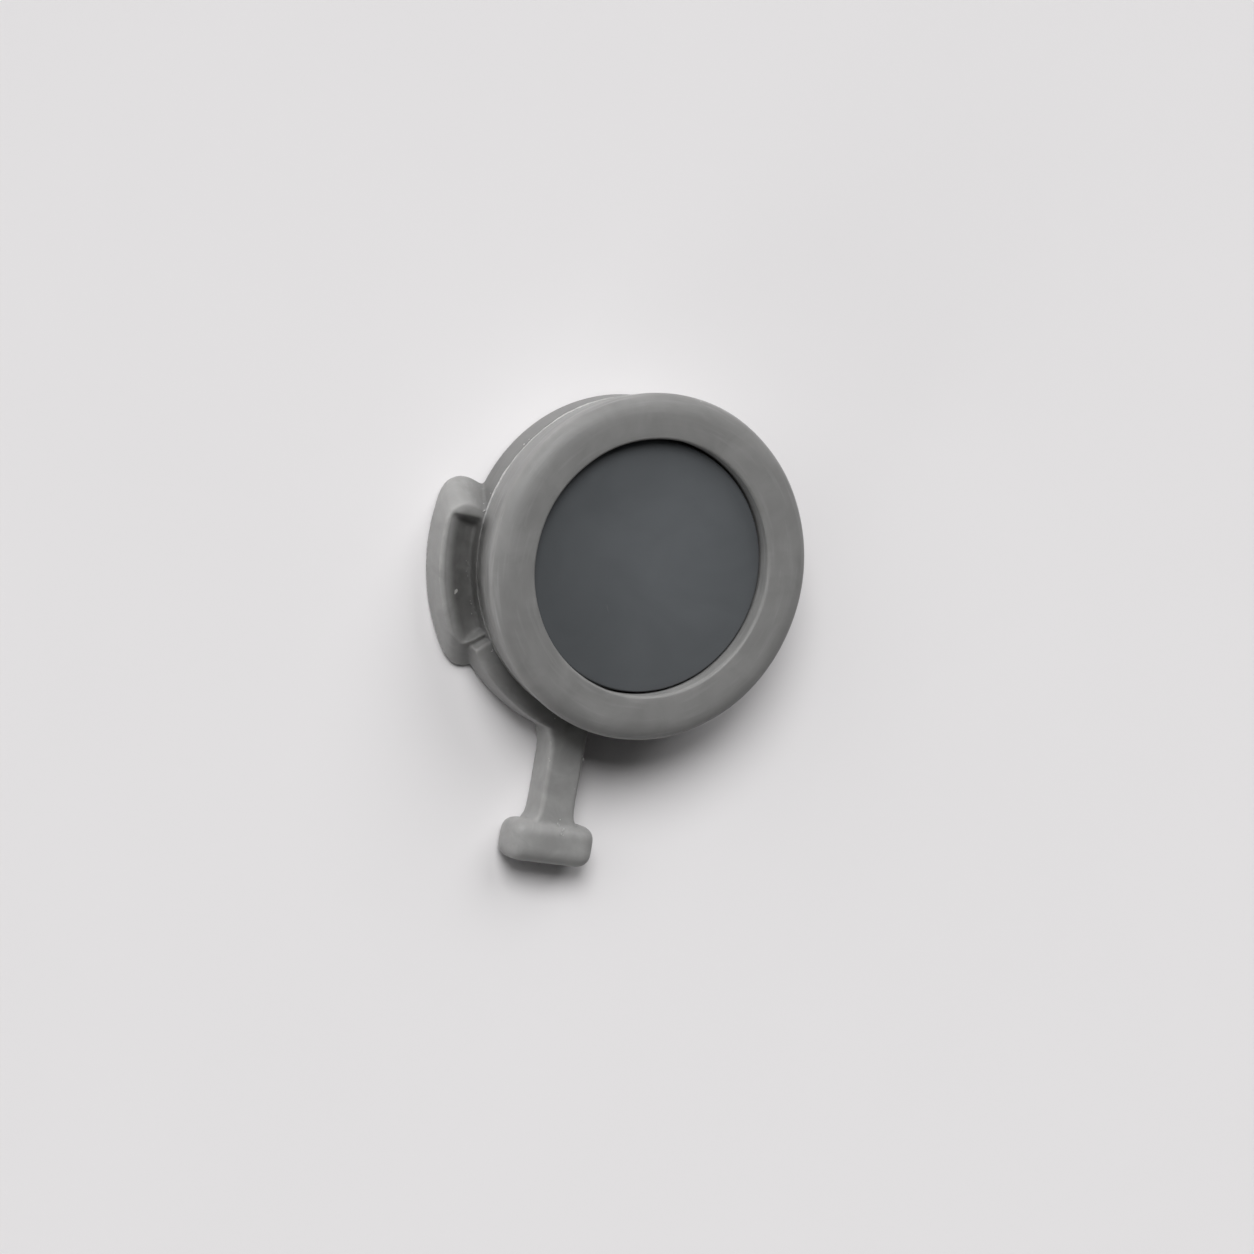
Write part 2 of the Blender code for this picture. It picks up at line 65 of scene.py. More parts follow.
# %% [markdown]
# ## Camera
# The trap lies on its back and is looked down on from the finger lug's side, turned so that the strap hangs
# towards the bottom of the picture. A long lens keeps the circles true, as in most catalogue pictures.
# The camera's own axes are built from two directions, so no angles have to be guessed.

# %% The camera
LENS = 300.0
SENSOR = 36.0
VIEW_WIDTH = 107.2 * MM
TOWARDS_CAMERA = Vector((-0.4627, 0.0, 0.8865)).normalized()
PICTURE_UP = Vector((-0.2695, 0.953, -0.1406)).normalized()
AIM = Vector((-0.53, -5.48, 8.33)) * MM

camera = bpy.data.objects.new("camera", bpy.data.cameras.new("camera"))
SCENE.collection.objects.link(camera)
SCENE.camera = camera
camera.data.lens = LENS
camera.data.sensor_width = SENSOR
picture_right = PICTURE_UP.cross(TOWARDS_CAMERA).normalized()
turned = Matrix((picture_right, PICTURE_UP, TOWARDS_CAMERA)).transposed().to_4x4()
distance = VIEW_WIDTH * LENS / SENSOR
camera.matrix_world = Matrix.Translation(AIM + TOWARDS_CAMERA * distance) @ turned
print("camera distance in mm:", round(distance / MM))

# %% [markdown]
# ## Light
# The main soft source stands high behind the trap, on the lug's side, and makes the soft shadow below the rim
# and strap. A Sun lamp with a wide angle lights the whole floor evenly, where an area lamp would fade across
# it. A second one straight behind widens the shadow to the left, a low one on the left lifts the lug's side,
# a weak one from the front keeps the rim's dark side readable, and a dim pale world fills the rest. The world
# looks pale to the camera only, so the floor's far edge doesn't show in low views.

# %% Four soft lamps and a pale world
def add_lamp(name, azimuth, elevation, strength, width):
    """A sun lamp seen from the origin at an azimuth from +X and an elevation, as wide as the given angle."""
    lamp = bpy.data.lights.new(name, "SUN")
    lamp.energy = strength
    lamp.angle = math.radians(width)
    holder = bpy.data.objects.new(name, lamp)
    SCENE.collection.objects.link(holder)
    rise, turn = math.radians(elevation), math.radians(azimuth)
    source = Vector((math.cos(rise) * math.cos(turn), math.cos(rise) * math.sin(turn), math.sin(rise)))
    holder.rotation_euler = source.to_track_quat("Z", "Y").to_euler()


add_lamp("key", azimuth=134.0, elevation=49.0, strength=2.42, width=30.0)
add_lamp("behind", azimuth=81.0, elevation=34.0, strength=1.2, width=38.0)
add_lamp("left", azimuth=162.0, elevation=25.0, strength=0.76, width=50.0)
add_lamp("front", azimuth=240.0, elevation=10.0, strength=0.4, width=24.0)

WORLD_GLOW = 0.024
WORLD_SEEN = 0.74
SCENE.view_settings.view_transform = "Standard"
world = bpy.data.worlds.new("pale studio")
SCENE.world = world
world.use_nodes = True
sky = world.node_tree
sky.nodes.clear()
glow, seen = (sky.nodes.new("ShaderNodeBackground") for _ in range(2))
glow.inputs["Strength"].default_value = WORLD_GLOW
seen.inputs["Strength"].default_value = WORLD_SEEN
either = sky.nodes.new("ShaderNodeMixShader")
sky.links.new(sky.nodes.new("ShaderNodeLightPath").outputs["Is Camera Ray"], either.inputs["Fac"])
sky.links.new(glow.outputs[0], either.inputs[1])
sky.links.new(seen.outputs[0], either.inputs[2])
sky.links.new(either.outputs[0], sky.nodes.new("ShaderNodeOutputWorld").inputs["Surface"])

# %% [markdown]
# ## A short way to write materials
# A material is a tree of nodes. Small helpers keep each one readable: `node` adds a node and fills its
# sockets with values or links, `maths` is a sum, `mix` blends two colours and `ramp` stretches a value to a
# new range. `new_material` starts a material with its constants set on the shader itself, and hands out the
# piece's own object coordinates. `feed` links what changes over the surface, and `bump` raises it slightly.

# %% Helpers for node trees
def node(tree, kind, sockets=None, **settings):
    """Adds a node. Each socket gets a value, or a link where the value is another node's output."""
    made = tree.nodes.new("ShaderNode" + kind)
    for name, value in settings.items():
        setattr(made, name, value)
    for name, value in (sockets or {}).items():
        if isinstance(value, bpy.types.NodeSocket):
            tree.links.new(value, made.inputs[name])
        else:
            made.inputs[name].default_value = value
    return made


def maths(tree, operation, *values, clamp=False):
    """One sum on numbers or outputs, and its result."""
    return node(tree, "Math", dict(enumerate(values)), operation=operation, use_clamp=clamp).outputs[0]


def mix(tree, share, first, second):
    """Blends from the first colour to the second as the share goes from 0 to 1."""
    return node(tree, "Mix", {0: share, 6: first, 7: second}, data_type="RGBA").outputs[2]


def ramp(tree, value, low, high, to_low=0.0, to_high=1.0):
    """Stretches a value from one range to another, and holds it there."""
    sockets = {"Value": value, "From Min": low, "From Max": high, "To Min": to_low, "To Max": to_high}
    return node(tree, "MapRange", sockets).outputs["Result"]


def grey(level, tint=(1.0, 1.0, 1.0)):
    return tuple(level * share for share in tint) + (1.0,)


def new_material(name, **constants):
    """A material with its constants on the shader. Gives it, its tree, its shader and its coordinates."""
    material = bpy.data.materials.new(name)
    material.use_nodes = True
    tree = material.node_tree
    shader = tree.nodes["Principled BSDF"]
    for socket, value in constants.items():
        shader.inputs[socket.replace("_", " ")].default_value = value
    return material, tree, shader, node(tree, "TexCoord").outputs["Object"]


def feed(tree, shader, **sources):
    """Links outputs to the shader's inputs."""
    for socket, source in sources.items():
        tree.links.new(source, shader.inputs[socket.replace("_", " ")])


def bump(tree, shader, height, depth, strength=1.0):
    """Raises the surface by a height from 0 to 1, at most by the given depth."""
    made = node(tree, "Bump", {"Height": height, "Distance": depth, "Strength": strength})
    feed(tree, shader, Normal=made.outputs["Normal"])


# %% [markdown]
# ## Effects that several finishes share
# Each effect is a node group: made once, then placed in each material with its own numbers.
# - **Cloudy colour**: moulded silicone and nylon are never one flat tone, because the pigment swirls.
# - **Moulded skin**: the tiny orange-peel of the mould's wall, with slow swells from shrinkage.
# - **Lint**: silicone is tacky and picks up pale fibres and dust, sparse and random.
# - **Turned lines**: fine lines round the axis, on spun, turned or stripped round parts.
# - **Drawn lines**: fine straight lines on rolled sheet, and faint hairline scratches.

# %% Cloudy colour and moulded skin
def effect(name, inputs, outputs):
    """A shader node group with named sockets. Gives the tree, the sockets to read and the sockets to fill."""
    tree = bpy.data.node_groups.new(name, "ShaderNodeTree")
    for socket, kind, value in inputs:
        made = tree.interface.new_socket(socket, in_out="INPUT", socket_type="NodeSocket" + kind)
        made.default_value = value
    for socket, kind in outputs:
        tree.interface.new_socket(socket, in_out="OUTPUT", socket_type="NodeSocket" + kind)
    return tree, tree.nodes.new("NodeGroupInput").outputs, tree.nodes.new("NodeGroupOutput").inputs


def placed(tree, group, sockets):
    """Places a node group in a tree, with its own values. Gives its outputs."""
    made = tree.nodes.new("ShaderNodeGroup")
    made.node_tree = group
    for name, value in sockets.items():
        if isinstance(value, bpy.types.NodeSocket):
            tree.links.new(value, made.inputs[name])
        else:
            made.inputs[name].default_value = value
    return made.outputs


PLACE = ("Place", "Vector", (0.0, 0.0, 0.0))
CLOUDY, given, out = effect(
    "cloudy colour",
    [PLACE, ("Dark", "Color", grey(0.17)), ("Pale", "Color", grey(0.21)), ("Scale", "Float", 250.0),
     ("Contrast", "Float", 1.0)],
    [("Colour", "Color"), ("Cloud", "Float")],
)
swirl = node(CLOUDY, "TexNoise", {"Vector": given["Place"], "Scale": given["Scale"], "Detail": 3.0,
                                  "Roughness": 0.6, "Distortion": 0.6}).outputs[0]
cloud = ramp(CLOUDY, swirl, 0.32, 0.68)
CLOUDY.links.new(cloud, out["Cloud"])
share = maths(CLOUDY, "MULTIPLY", cloud, given["Contrast"], clamp=True)
CLOUDY.links.new(mix(CLOUDY, share, given["Dark"], given["Pale"]), out["Colour"])

SKIN, given, out = effect(
    "moulded skin",
    [PLACE, ("Grain Scale", "Float", 9000.0), ("Swell Scale", "Float", 400.0), ("Swell Share", "Float", 0.5)],
    [("Height", "Float")],
)
grain = node(SKIN, "TexNoise", {"Vector": given["Place"], "Scale": given["Grain Scale"], "Detail": 2.0})
swell = node(SKIN, "TexNoise", {"Vector": given["Place"], "Scale": given["Swell Scale"], "Detail": 1.0})
grain_share = maths(SKIN, "SUBTRACT", 1.0, given["Swell Share"])
fine = maths(SKIN, "MULTIPLY", grain.outputs[0], grain_share)
slow = maths(SKIN, "MULTIPLY", swell.outputs[0], given["Swell Share"])
SKIN.links.new(maths(SKIN, "ADD", fine, slow), out["Height"])
print("effects:", CLOUDY.name, "and", SKIN.name)

# %% Lint, turned lines and drawn lines
LINT, given, out = effect(
    "lint",
    [PLACE, ("Scale", "Float", 500.0), ("Size", "Float", 0.12), ("Share", "Float", 0.3)],
    [("Mask", "Float")],
)
bent = node(LINT, "TexNoise", {"Vector": given["Place"], "Scale": 900.0, "Detail": 1.0}).outputs["Color"]
nudged = node(LINT, "VectorMath", {0: bent, 1: (0.0009, 0.0009, 0.0009), 2: given["Place"]},
              operation="MULTIPLY_ADD").outputs[0]
cells = node(LINT, "TexVoronoi", {"Vector": nudged, "Scale": given["Scale"]})
chance = node(LINT, "SeparateColor", {0: cells.outputs["Color"]}).outputs
picked = maths(LINT, "LESS_THAN", chance[0], given["Share"])
grown = maths(LINT, "MULTIPLY", given["Size"], chance[1])
near = maths(LINT, "LESS_THAN", cells.outputs["Distance"], grown)
LINT.links.new(maths(LINT, "MULTIPLY", picked, near), out["Mask"])

TURNED, given, out = effect(
    "turned lines",
    [PLACE, ("Scale", "Float", 6000.0), ("Drift", "Float", 0.0004)],
    [("Height", "Float")],
)
axes = node(TURNED, "SeparateXYZ", {0: given["Place"]}).outputs
squares = [maths(TURNED, "MULTIPLY", axis, axis) for axis in (axes[0], axes[1])]
radius = maths(TURNED, "SQRT", maths(TURNED, "ADD", *squares))
angle = maths(TURNED, "ARCTAN2", axes[1], axes[0])
drift = maths(TURNED, "MULTIPLY", angle, given["Drift"])
around = node(TURNED, "CombineXYZ", {0: radius, 1: drift, 2: axes[2]})
lines = node(TURNED, "TexNoise", {"Vector": around.outputs[0], "Scale": given["Scale"], "Detail": 2.0})
TURNED.links.new(lines.outputs[0], out["Height"])

DRAWN, given, out = effect(
    "drawn lines",
    [PLACE, ("Scale", "Float", 8000.0), ("Stretch", "Float", 0.02), ("Turn", "Float", 0.5)],
    [("Height", "Float")],
)
swung = node(DRAWN, "VectorRotate", {"Vector": given["Place"], "Angle": given["Turn"]},
             rotation_type="Z_AXIS").outputs[0]
axes = node(DRAWN, "SeparateXYZ", {0: swung}).outputs
stretched = maths(DRAWN, "MULTIPLY", axes[0], given["Stretch"])
drawn = node(DRAWN, "CombineXYZ", {0: stretched, 1: axes[1], 2: axes[2]})
lines = node(DRAWN, "TexNoise", {"Vector": drawn.outputs[0], "Scale": given["Scale"], "Detail": 2.0})
DRAWN.links.new(lines.outputs[0], out["Height"])
print("effects:", LINT.name, TURNED.name, DRAWN.name, sep=", ")

# %% [markdown]
# ## Grey silicone
# The two soft mouldings are the same mid grey silicone, but their skins differ. The front ring was turned
# out of a round cavity and keeps faint lines round its wall. The rear moulding was pulled out of its mould by
# hand and is more blotchy. Walls are painted lighter than faces, as painted light for the light that falls on
# them from the sides, so the colour follows the object's own normal. Parts further from the axis, the strap
# and the toggle among them, are painted lighter too, as painted light for light that gets through thin
# silicone, and subsurface scattering softens the edges of every shadow on them. The lug's hollow and the wall
# beside it are painted darker, as painted shade. Its mask is a few soft limits multiplied.

# %% Silicone for the front ring, the rear moulding and the flash
# A mask of painted shade: the lug's hollow and the wall beside it, where shade falls between lug and ring.
HOLLOW_SHADE, given, out = effect("painted shade in the hollow", [PLACE], [("Mask", "Float")])
axes = node(HOLLOW_SHADE, "SeparateXYZ", {0: given["Place"]}).outputs
reach = node(HOLLOW_SHADE, "VectorMath", {0: given["Place"]}, operation="LENGTH").outputs["Value"]
patchy = node(HOLLOW_SHADE, "TexNoise", {"Vector": given["Place"], "Scale": 900.0, "Detail": 3.0}).outputs[0]
beside = maths(HOLLOW_SHADE, "MULTIPLY", ramp(HOLLOW_SHADE, axes[0], -10.0 * MM, -12.6 * MM),
               ramp(HOLLOW_SHADE, axes[2], 6.3 * MM, 4.6 * MM))
inside = maths(HOLLOW_SHADE, "MULTIPLY", beside, ramp(HOLLOW_SHADE, reach, 17.0 * MM, 15.9 * MM))
below = maths(HOLLOW_SHADE, "MULTIPLY", inside, ramp(HOLLOW_SHADE, axes[1], 0.1 * MM, -1.0 * MM))
HOLLOW_SHADE.links.new(maths(HOLLOW_SHADE, "MULTIPLY", below, ramp(HOLLOW_SHADE, patchy, 0.3, 0.7, 0.75, 1.0)), out["Mask"])

WARM = (1.0, 0.995, 0.98)
LINT_COLOUR = grey(0.5, (1.0, 0.99, 0.96))
# The painted shade's colour for the lug's hollow, and how much of it is mixed in.
HOLLOW_SHADE_COLOUR = grey(0.068, (1.0, 0.99, 0.95))
HOLLOW_SHADE_SHARE = 0.9
STREAK_COLOUR = grey(0.36)
SKIN_DEPTH = 0.02 * MM
THIN_FROM = 14.7 * MM
THIN_TO = 16.8 * MM


def silicone(name, dark, pale, cloud_scale, lines_depth, lint_share, wall_light=1.0, thin=1.0, rough=(0.44, 0.54)):
    """Grey silicone, its walls and outer parts painted lighter by two factors, with painted shade in its
    hollow.
    """
    material, tree, shader, place = new_material(
        name, IOR=1.43, Subsurface_Weight=0.5, Subsurface_Scale=0.8 * MM, Subsurface_Radius=(1.0, 0.95, 0.9)
    )
    cloudy, cloud = placed(tree, CLOUDY, {"Place": place, "Dark": dark, "Pale": pale, "Scale": cloud_scale})
    normal = node(tree, "TexCoord").outputs["Normal"]
    level = maths(tree, "ABSOLUTE", node(tree, "SeparateXYZ", {0: normal}).outputs[2])
    reach = node(tree, "VectorMath", {0: place}, operation="LENGTH").outputs["Value"]
    # Painted light: walls by their normal and parts further out by their reach are painted lighter.
    painted_light = maths(tree, "MULTIPLY", ramp(tree, level, 0.85, 0.25, 1.0, wall_light),
                  ramp(tree, reach, THIN_FROM, THIN_TO, 1.0, thin))
    colour = node(tree, "VectorMath", {0: cloudy, "Scale": painted_light}, operation="SCALE").outputs[0]
    lint = placed(tree, LINT, {"Place": place, "Share": lint_share})["Mask"]
    streak = placed(tree, TURNED, {"Place": place, "Scale": 2600.0, "Drift": 0.0011})["Height"]
    on_walls = maths(tree, "MULTIPLY", ramp(tree, streak, 0.54, 0.72, 0.0, 0.5 * lines_depth),
                     ramp(tree, level, 0.95, 0.5, 0.25, 1.0))
    streaked = mix(tree, on_walls, colour, STREAK_COLOUR)
    skin = placed(tree, SKIN, {"Place": place, "Swell Share": 0.75})["Height"]
    height = maths(tree, "ADD", skin, maths(tree, "MULTIPLY", streak, lines_depth))
    # Painted shade darkens the lug's hollow and the wall beside it.
    hollow_shade = placed(tree, HOLLOW_SHADE, {"Place": place})["Mask"]
    hollow_shaded = mix(tree, maths(tree, "MULTIPLY", hollow_shade, HOLLOW_SHADE_SHARE), streaked, HOLLOW_SHADE_COLOUR)
    feed(tree, shader, Base_Color=mix(tree, maths(tree, "MULTIPLY", lint, 0.7), hollow_shaded, LINT_COLOUR))
    feed(tree, shader, Roughness=ramp(tree, cloud, 0.0, 1.0, rough[0], rough[1]))
    bump(tree, shader, height, SKIN_DEPTH, 0.6)
    return material


RING_SILICONE = silicone(
    "grey silicone ring", grey(0.186, WARM), grey(0.222, WARM),
    cloud_scale=260.0, lines_depth=1.0, lint_share=0.12, wall_light=1.3,
)
BODY_SILICONE = silicone(
    "grey silicone moulding", grey(0.163, WARM), grey(0.207, WARM),
    cloud_scale=420.0, lines_depth=0.3, lint_share=0.14, wall_light=1.06, thin=1.5,
)
SEAL_SILICONE = silicone(
    "grey silicone seal", grey(0.15, WARM), grey(0.17, WARM),
    cloud_scale=300.0, lines_depth=0.4, lint_share=0.0,
)
# Pale grey, partly the thin silicone's own colour and partly painted highlight, for the light thin edges
# catch.
FLASH_SILICONE = silicone(
    "thin silicone flash", grey(0.42, WARM), grey(0.6, WARM),
    cloud_scale=1500.0, lines_depth=0.1, lint_share=0.0,
)
print("silicones:", RING_SILICONE.name, BODY_SILICONE.name, SEAL_SILICONE.name, FLASH_SILICONE.name, sep=", ")

# %% [markdown]
# ## Hard plastics
# The press disc is a dark blue-grey plastic with a fine spark-eroded grain, so it has almost no shine. A few
# hairlines and specks show that it was handled. It is painted darker towards its rim, most on one side, as
# painted shade. The core's nylon is paler, a little waxy and cloudy.

# %% Dark disc plastic and pale nylon
COOL = (0.93, 1.0, 1.07)
# The centre of the disc's painted shade, which darkens away from it towards the rim.
SHADE_CENTRE = (2.2 * MM, 2.2 * MM, 7.2 * MM)


def hard_plastic(name, dark, pale, rough, grain_depth, hairlines, lint_share, rim_shade=1.0):
    """Plastic with painted shade, darker by a factor away from a centre spot."""
    material, tree, shader, place = new_material(name, IOR=1.5)
    colour, cloud = placed(tree, CLOUDY, {"Place": place, "Dark": dark, "Pale": pale, "Scale": 130.0})
    scratch = placed(tree, DRAWN, {"Place": place, "Scale": 3600.0, "Stretch": 0.09, "Turn": 0.9})["Height"]
    scratched = ramp(tree, scratch, 0.74, 0.80, 0.0, hairlines)
    lint = placed(tree, LINT, {"Place": place, "Scale": 420.0, "Size": 0.07, "Share": lint_share})["Mask"]
    # Painted shade: darker with distance from the centre spot.
    wear_and_shade = node(tree, "VectorMath", {0: place, 1: SHADE_CENTRE}, operation="DISTANCE").outputs["Value"]
    shade_factor = ramp(tree, wear_and_shade, 3.0 * MM, 12.5 * MM, 1.0, rim_shade)
    toned = node(tree, "VectorMath", {0: colour, "Scale": shade_factor}, operation="SCALE").outputs[0]
    marked = mix(tree, scratched, toned, grey(0.3))
    grain = placed(tree, SKIN, {"Place": place, "Grain Scale": 12000.0, "Swell Share": 0.35})["Height"]
    feed(tree, shader, Base_Color=mix(tree, maths(tree, "MULTIPLY", lint, 0.5), marked, LINT_COLOUR))
    feed(tree, shader, Roughness=ramp(tree, cloud, 0.0, 1.0, rough[0], rough[1]))
    bump(tree, shader, maths(tree, "SUBTRACT", grain, scratched), grain_depth, 0.7)
    return material


DISC_PLASTIC = hard_plastic(
    "fine grained dark plastic", grey(0.093, COOL), grey(0.103, COOL), rough=(0.5, 0.6),
    grain_depth=0.02 * MM, hairlines=0.16, lint_share=0.05, rim_shade=0.7,
)
NYLON = hard_plastic(
    "moulded nylon", grey(0.36), grey(0.45, WARM), rough=(0.38, 0.5),
    grain_depth=0.01 * MM, hairlines=0.05, lint_share=0.0,
)
print("plastics:", DISC_PLASTIC.name, "and", NYLON.name)

# %% [markdown]
# ## Metals
# Wire keeps lines along its drawing, sheet keeps rolling lines and turned parts keep lines round the axis.
# One recipe covers all three: it takes its lines from the effect that fits, for both roughness and bump.

# %% Stainless wire and sheet, turned steel and brass
def metal(name, dark, pale, group, line_scale, rough, depth):
    """Bare metal with fine lines, drawn by the given effect, in its roughness and on its surface."""
    material, tree, shader, place = new_material(name, Metallic=1.0)
    colour, cloud = placed(tree, CLOUDY, {"Place": place, "Dark": dark, "Pale": pale, "Scale": 600.0})
    lines = placed(tree, group, {"Place": place, "Scale": line_scale})["Height"]
    wear_and_shade = maths(tree, "MULTIPLY", maths(tree, "ADD", lines, cloud), 0.5)
    feed(tree, shader, Base_Color=colour, Roughness=ramp(tree, wear_and_shade, 0.25, 0.75, rough[0], rough[1]))
    bump(tree, shader, lines, depth, 0.5)
    return material


WIRE_STEEL = metal("drawn stainless wire", grey(0.52), grey(0.62), DRAWN, 9000.0, (0.22, 0.38), 0.004 * MM)
SHEET_STEEL = metal("rolled stainless sheet", grey(0.55), grey(0.64), DRAWN, 12000.0, (0.2, 0.34), 0.003 * MM)
TURNED_STEEL = metal("turned stainless rod", grey(0.56), grey(0.66), TURNED, 9000.0, (0.16, 0.3), 0.004 * MM)
BRASS = metal(
    "turned brass", (0.52, 0.36, 0.14, 1.0), (0.66, 0.48, 0.22, 1.0), TURNED, 9000.0, (0.2, 0.4), 0.004 * MM
)
print("metals:", WIRE_STEEL.name, SHEET_STEEL.name, TURNED_STEEL.name, BRASS.name, sep=", ")

# %% [markdown]
# ## Floor
# A plain pale sheet, far wider than the trap, with the faintest mottling so that it isn't a flat colour.

# %% The floor
FLOOR_RADIUS = 3.0
FLOOR_DROP = 0.01 * MM
bm = bmesh.new()
bmesh.ops.create_circle(
    bm, cap_ends=True, segments=96, radius=FLOOR_RADIUS, matrix=Matrix.Translation((0, 0, -FLOOR_DROP))
)
floor_mesh = bpy.data.meshes.new("floor")
bm.to_mesh(floor_mesh)
bm.free()
floor = bpy.data.objects.new("floor", floor_mesh)
SCENE.collection.objects.link(floor)
PAPER_TINT = (1.0, 0.981, 0.99)
PAPER_DARK, PAPER_PALE = grey(0.798, PAPER_TINT), grey(0.804, PAPER_TINT)
paper, tree, shader, place = new_material("pale paper", Roughness=0.9, Specular_IOR_Level=0.1)
mottled = placed(tree, CLOUDY, {"Place": place, "Dark": PAPER_DARK, "Pale": PAPER_PALE, "Scale": 40.0})
feed(tree, shader, Base_Color=mottled["Colour"])
floor_mesh.materials.append(paper)
print("floor radius in m:", FLOOR_RADIUS)

# %% [markdown]
# ## Turning, rounding and finishing a piece
# Most pieces are round, so they start as a line of (radius, height) points in millimetres that is spun round
# Z. `spun` closes the seam and the pole. `round_edges` gives sharp edges a small radius, since no moulded or
# turned edge is really sharp. `finish` turns the mesh into a piece: it rides on a body, gets its material
# and stands for the CAD nodes that it replaces.

# %% Helpers for shapes
SHARP = math.radians(30.0)
TINY = 1e-7
RING_STEPS = 180
PIN_STEPS = 48


def spun(points, steps=RING_STEPS, closed=True):
    """A bmesh made by turning a line of (radius, height) points, in mm, once round Z."""
    bm = bmesh.new()
    line = [bm.verts.new((radius * MM, 0.0, height * MM)) for radius, height in points]
    for near, far in zip(line, line[1:] + line[:1] if closed else line[1:]):
        bm.edges.new((near, far))
    bmesh.ops.spin(bm, geom=bm.verts[:] + bm.edges[:], axis=(0, 0, 1), cent=(0, 0, 0), angle=math.tau,
                   steps=steps, use_merge=True)
    bmesh.ops.remove_doubles(bm, verts=bm.verts, dist=TINY)
    bmesh.ops.recalc_face_normals(bm, faces=bm.faces)
    return bm


def round_edges(bm, width, steps=2, edges=None):
    """Bevels the sharp edges, or the given ones, to a radius in mm."""
    if edges is None:
        edges = [edge for edge in bm.edges if edge.calc_face_angle(0.0) > SHARP]
    bmesh.ops.bevel(bm, geom=edges, offset=width * MM, offset_type="OFFSET", segments=steps, profile=0.5,
                    affect="EDGES", material=-1, clamp_overlap=True)
    return bm


def arc(centre, radii, start, end, steps):
    """Points on an ellipse from a start angle to an end angle in degrees, in mm."""
    angles = [math.radians(start + (end - start) * i / steps) for i in range(steps + 1)]
    return [(centre[0] + radii[0] * math.cos(a), centre[1] + radii[1] * math.sin(a)) for a in angles]


def add_object(name, bm):
    """Turns a bmesh into an object at the origin, and frees it."""
    mesh = bpy.data.meshes.new(name)
    bm.to_mesh(mesh)
    bm.free()
    made = bpy.data.objects.new(name, mesh)
    SCENE.collection.objects.link(made)
    return made


def settle(made):
    """Applies a piece's modifiers, so that its mesh is final."""
    bpy.context.view_layer.update()
    result = bpy.data.meshes.new_from_object(made.evaluated_get(bpy.context.evaluated_depsgraph_get()))
    made.modifiers.clear()
    made.data = result
    result.name = made.name
    return made


def finish(made, body, slot, material, *nodes, sharp=SHARP, even=False):
    """Shades a piece, gives it its material, and ties it to its body and its CAD nodes. The slot is not used.

    Even shading weighs the normals by face area, so that flat faces beside small bevels look flat.
    """
    made.data.shade_smooth()
    made.data.set_sharp_from_angle(angle=sharp)
    if even:
        made.modifiers.new("even shading", "WEIGHTED_NORMAL").keep_sharp = True
        settle(made)
    made.data.materials.clear()
    made.data.materials.append(material)
    if body:
        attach(made, body)
    if nodes:
        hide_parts(*nodes)
    triangles = sum(len(face.vertices) - 2 for face in made.data.polygons)
    print(f"{made.name}: {triangles} triangles, material {material.name}")
    return made


# %% [markdown]
# ## The front ring
# A soft ring with a flat face, a rolled lip round the window and a crown that runs down into a wall. The wall
# leans out towards the front, so the ring is widest just under its crown, and has a shallow dip where the
# silicone shrank over the core. Its profile is drawn point by point and spun. Slow noise then moves the skin
# by a few hundredths of a millimetre, because a soft moulding is never a perfect turning.

# %% The front ring's profile and its spin
RIM = 15.0
RIM_LEVEL = 7.5
FACE = 8.6
WINDOW = 11.1
SPLIT = 3.4
SPLIT_GAP = 0.1
SPLIT_RADIUS = 14.25


def wall_radius(height):
    """The front ring's wall, leaning out, with a shallow dip and a low swell below it."""
    lean = SPLIT_RADIUS + (RIM - SPLIT_RADIUS) * (height - SPLIT) / (RIM_LEVEL - SPLIT)
    dip = 0.055 * math.exp(-(((height - 6.15) / 0.38) ** 2))
    swell = 0.03 * math.exp(-(((height - 4.9) / 0.5) ** 2))
    return lean - dip + swell


def stir(bm, amount, size, seed):
    """Moves each point along its normal by slow noise, by an amount and over a size in mm."""
    bm.normal_update()
    drift = Vector((seed, -seed, seed * 0.5))
    moves = [vert.normal * noise.noise(vert.co / (size * MM) + drift) * amount * MM for vert in bm.verts]
    for vert, move in zip(bm.verts, moves):
        vert.co += move


ring_points = [(WINDOW, 5.45), (WINDOW, 6.2), (WINDOW, 7.0), (WINDOW, 7.8)]
ring_points += arc((WINDOW + 0.28, FACE - 0.31), (0.28, 0.28), 180, 96, 7)
ring_points += [(11.9, FACE - 0.012), (12.5, FACE), (12.9, FACE)]
ring_points += arc((RIM - 1.9, RIM_LEVEL), (1.9, FACE - RIM_LEVEL), 84, 6, 14)
ring_points += [(wall_radius(h), h) for h in [RIM_LEVEL - 0.24 * i for i in range(1, 16)]]
ring_points += arc((SPLIT_RADIUS - 0.1, SPLIT + SPLIT_GAP + 0.1), (0.1, 0.1), 0, -90, 3)
ring_points += [(13.0, 3.5), (13.0, 3.95), (11.6, 3.95), (11.6, 5.45)]
bm = spun(ring_points, 200)
stir(bm, 0.03, 5.0, 3.0)
finish(add_object("front_ring", bm), "housing", "grey_silicone", RING_SILICONE, "bezel_ring")

# %% [markdown]
# ## The rear moulding
# The rear ring, the finger lug, the narrow flange, the strap and the toggle are one soft casting on the real
# trap. Each is made as its own closed shape first. The lug is a thick arc, longer at the back than at the
# front, so its ends slope, and its front is scooped out for a fingertip. Modelling the joins between them by
# hand would need many fillets, so the shapes are joined by a voxel Remesh and then smoothed, which leaves the
# small soft radius that a mould has everywhere.

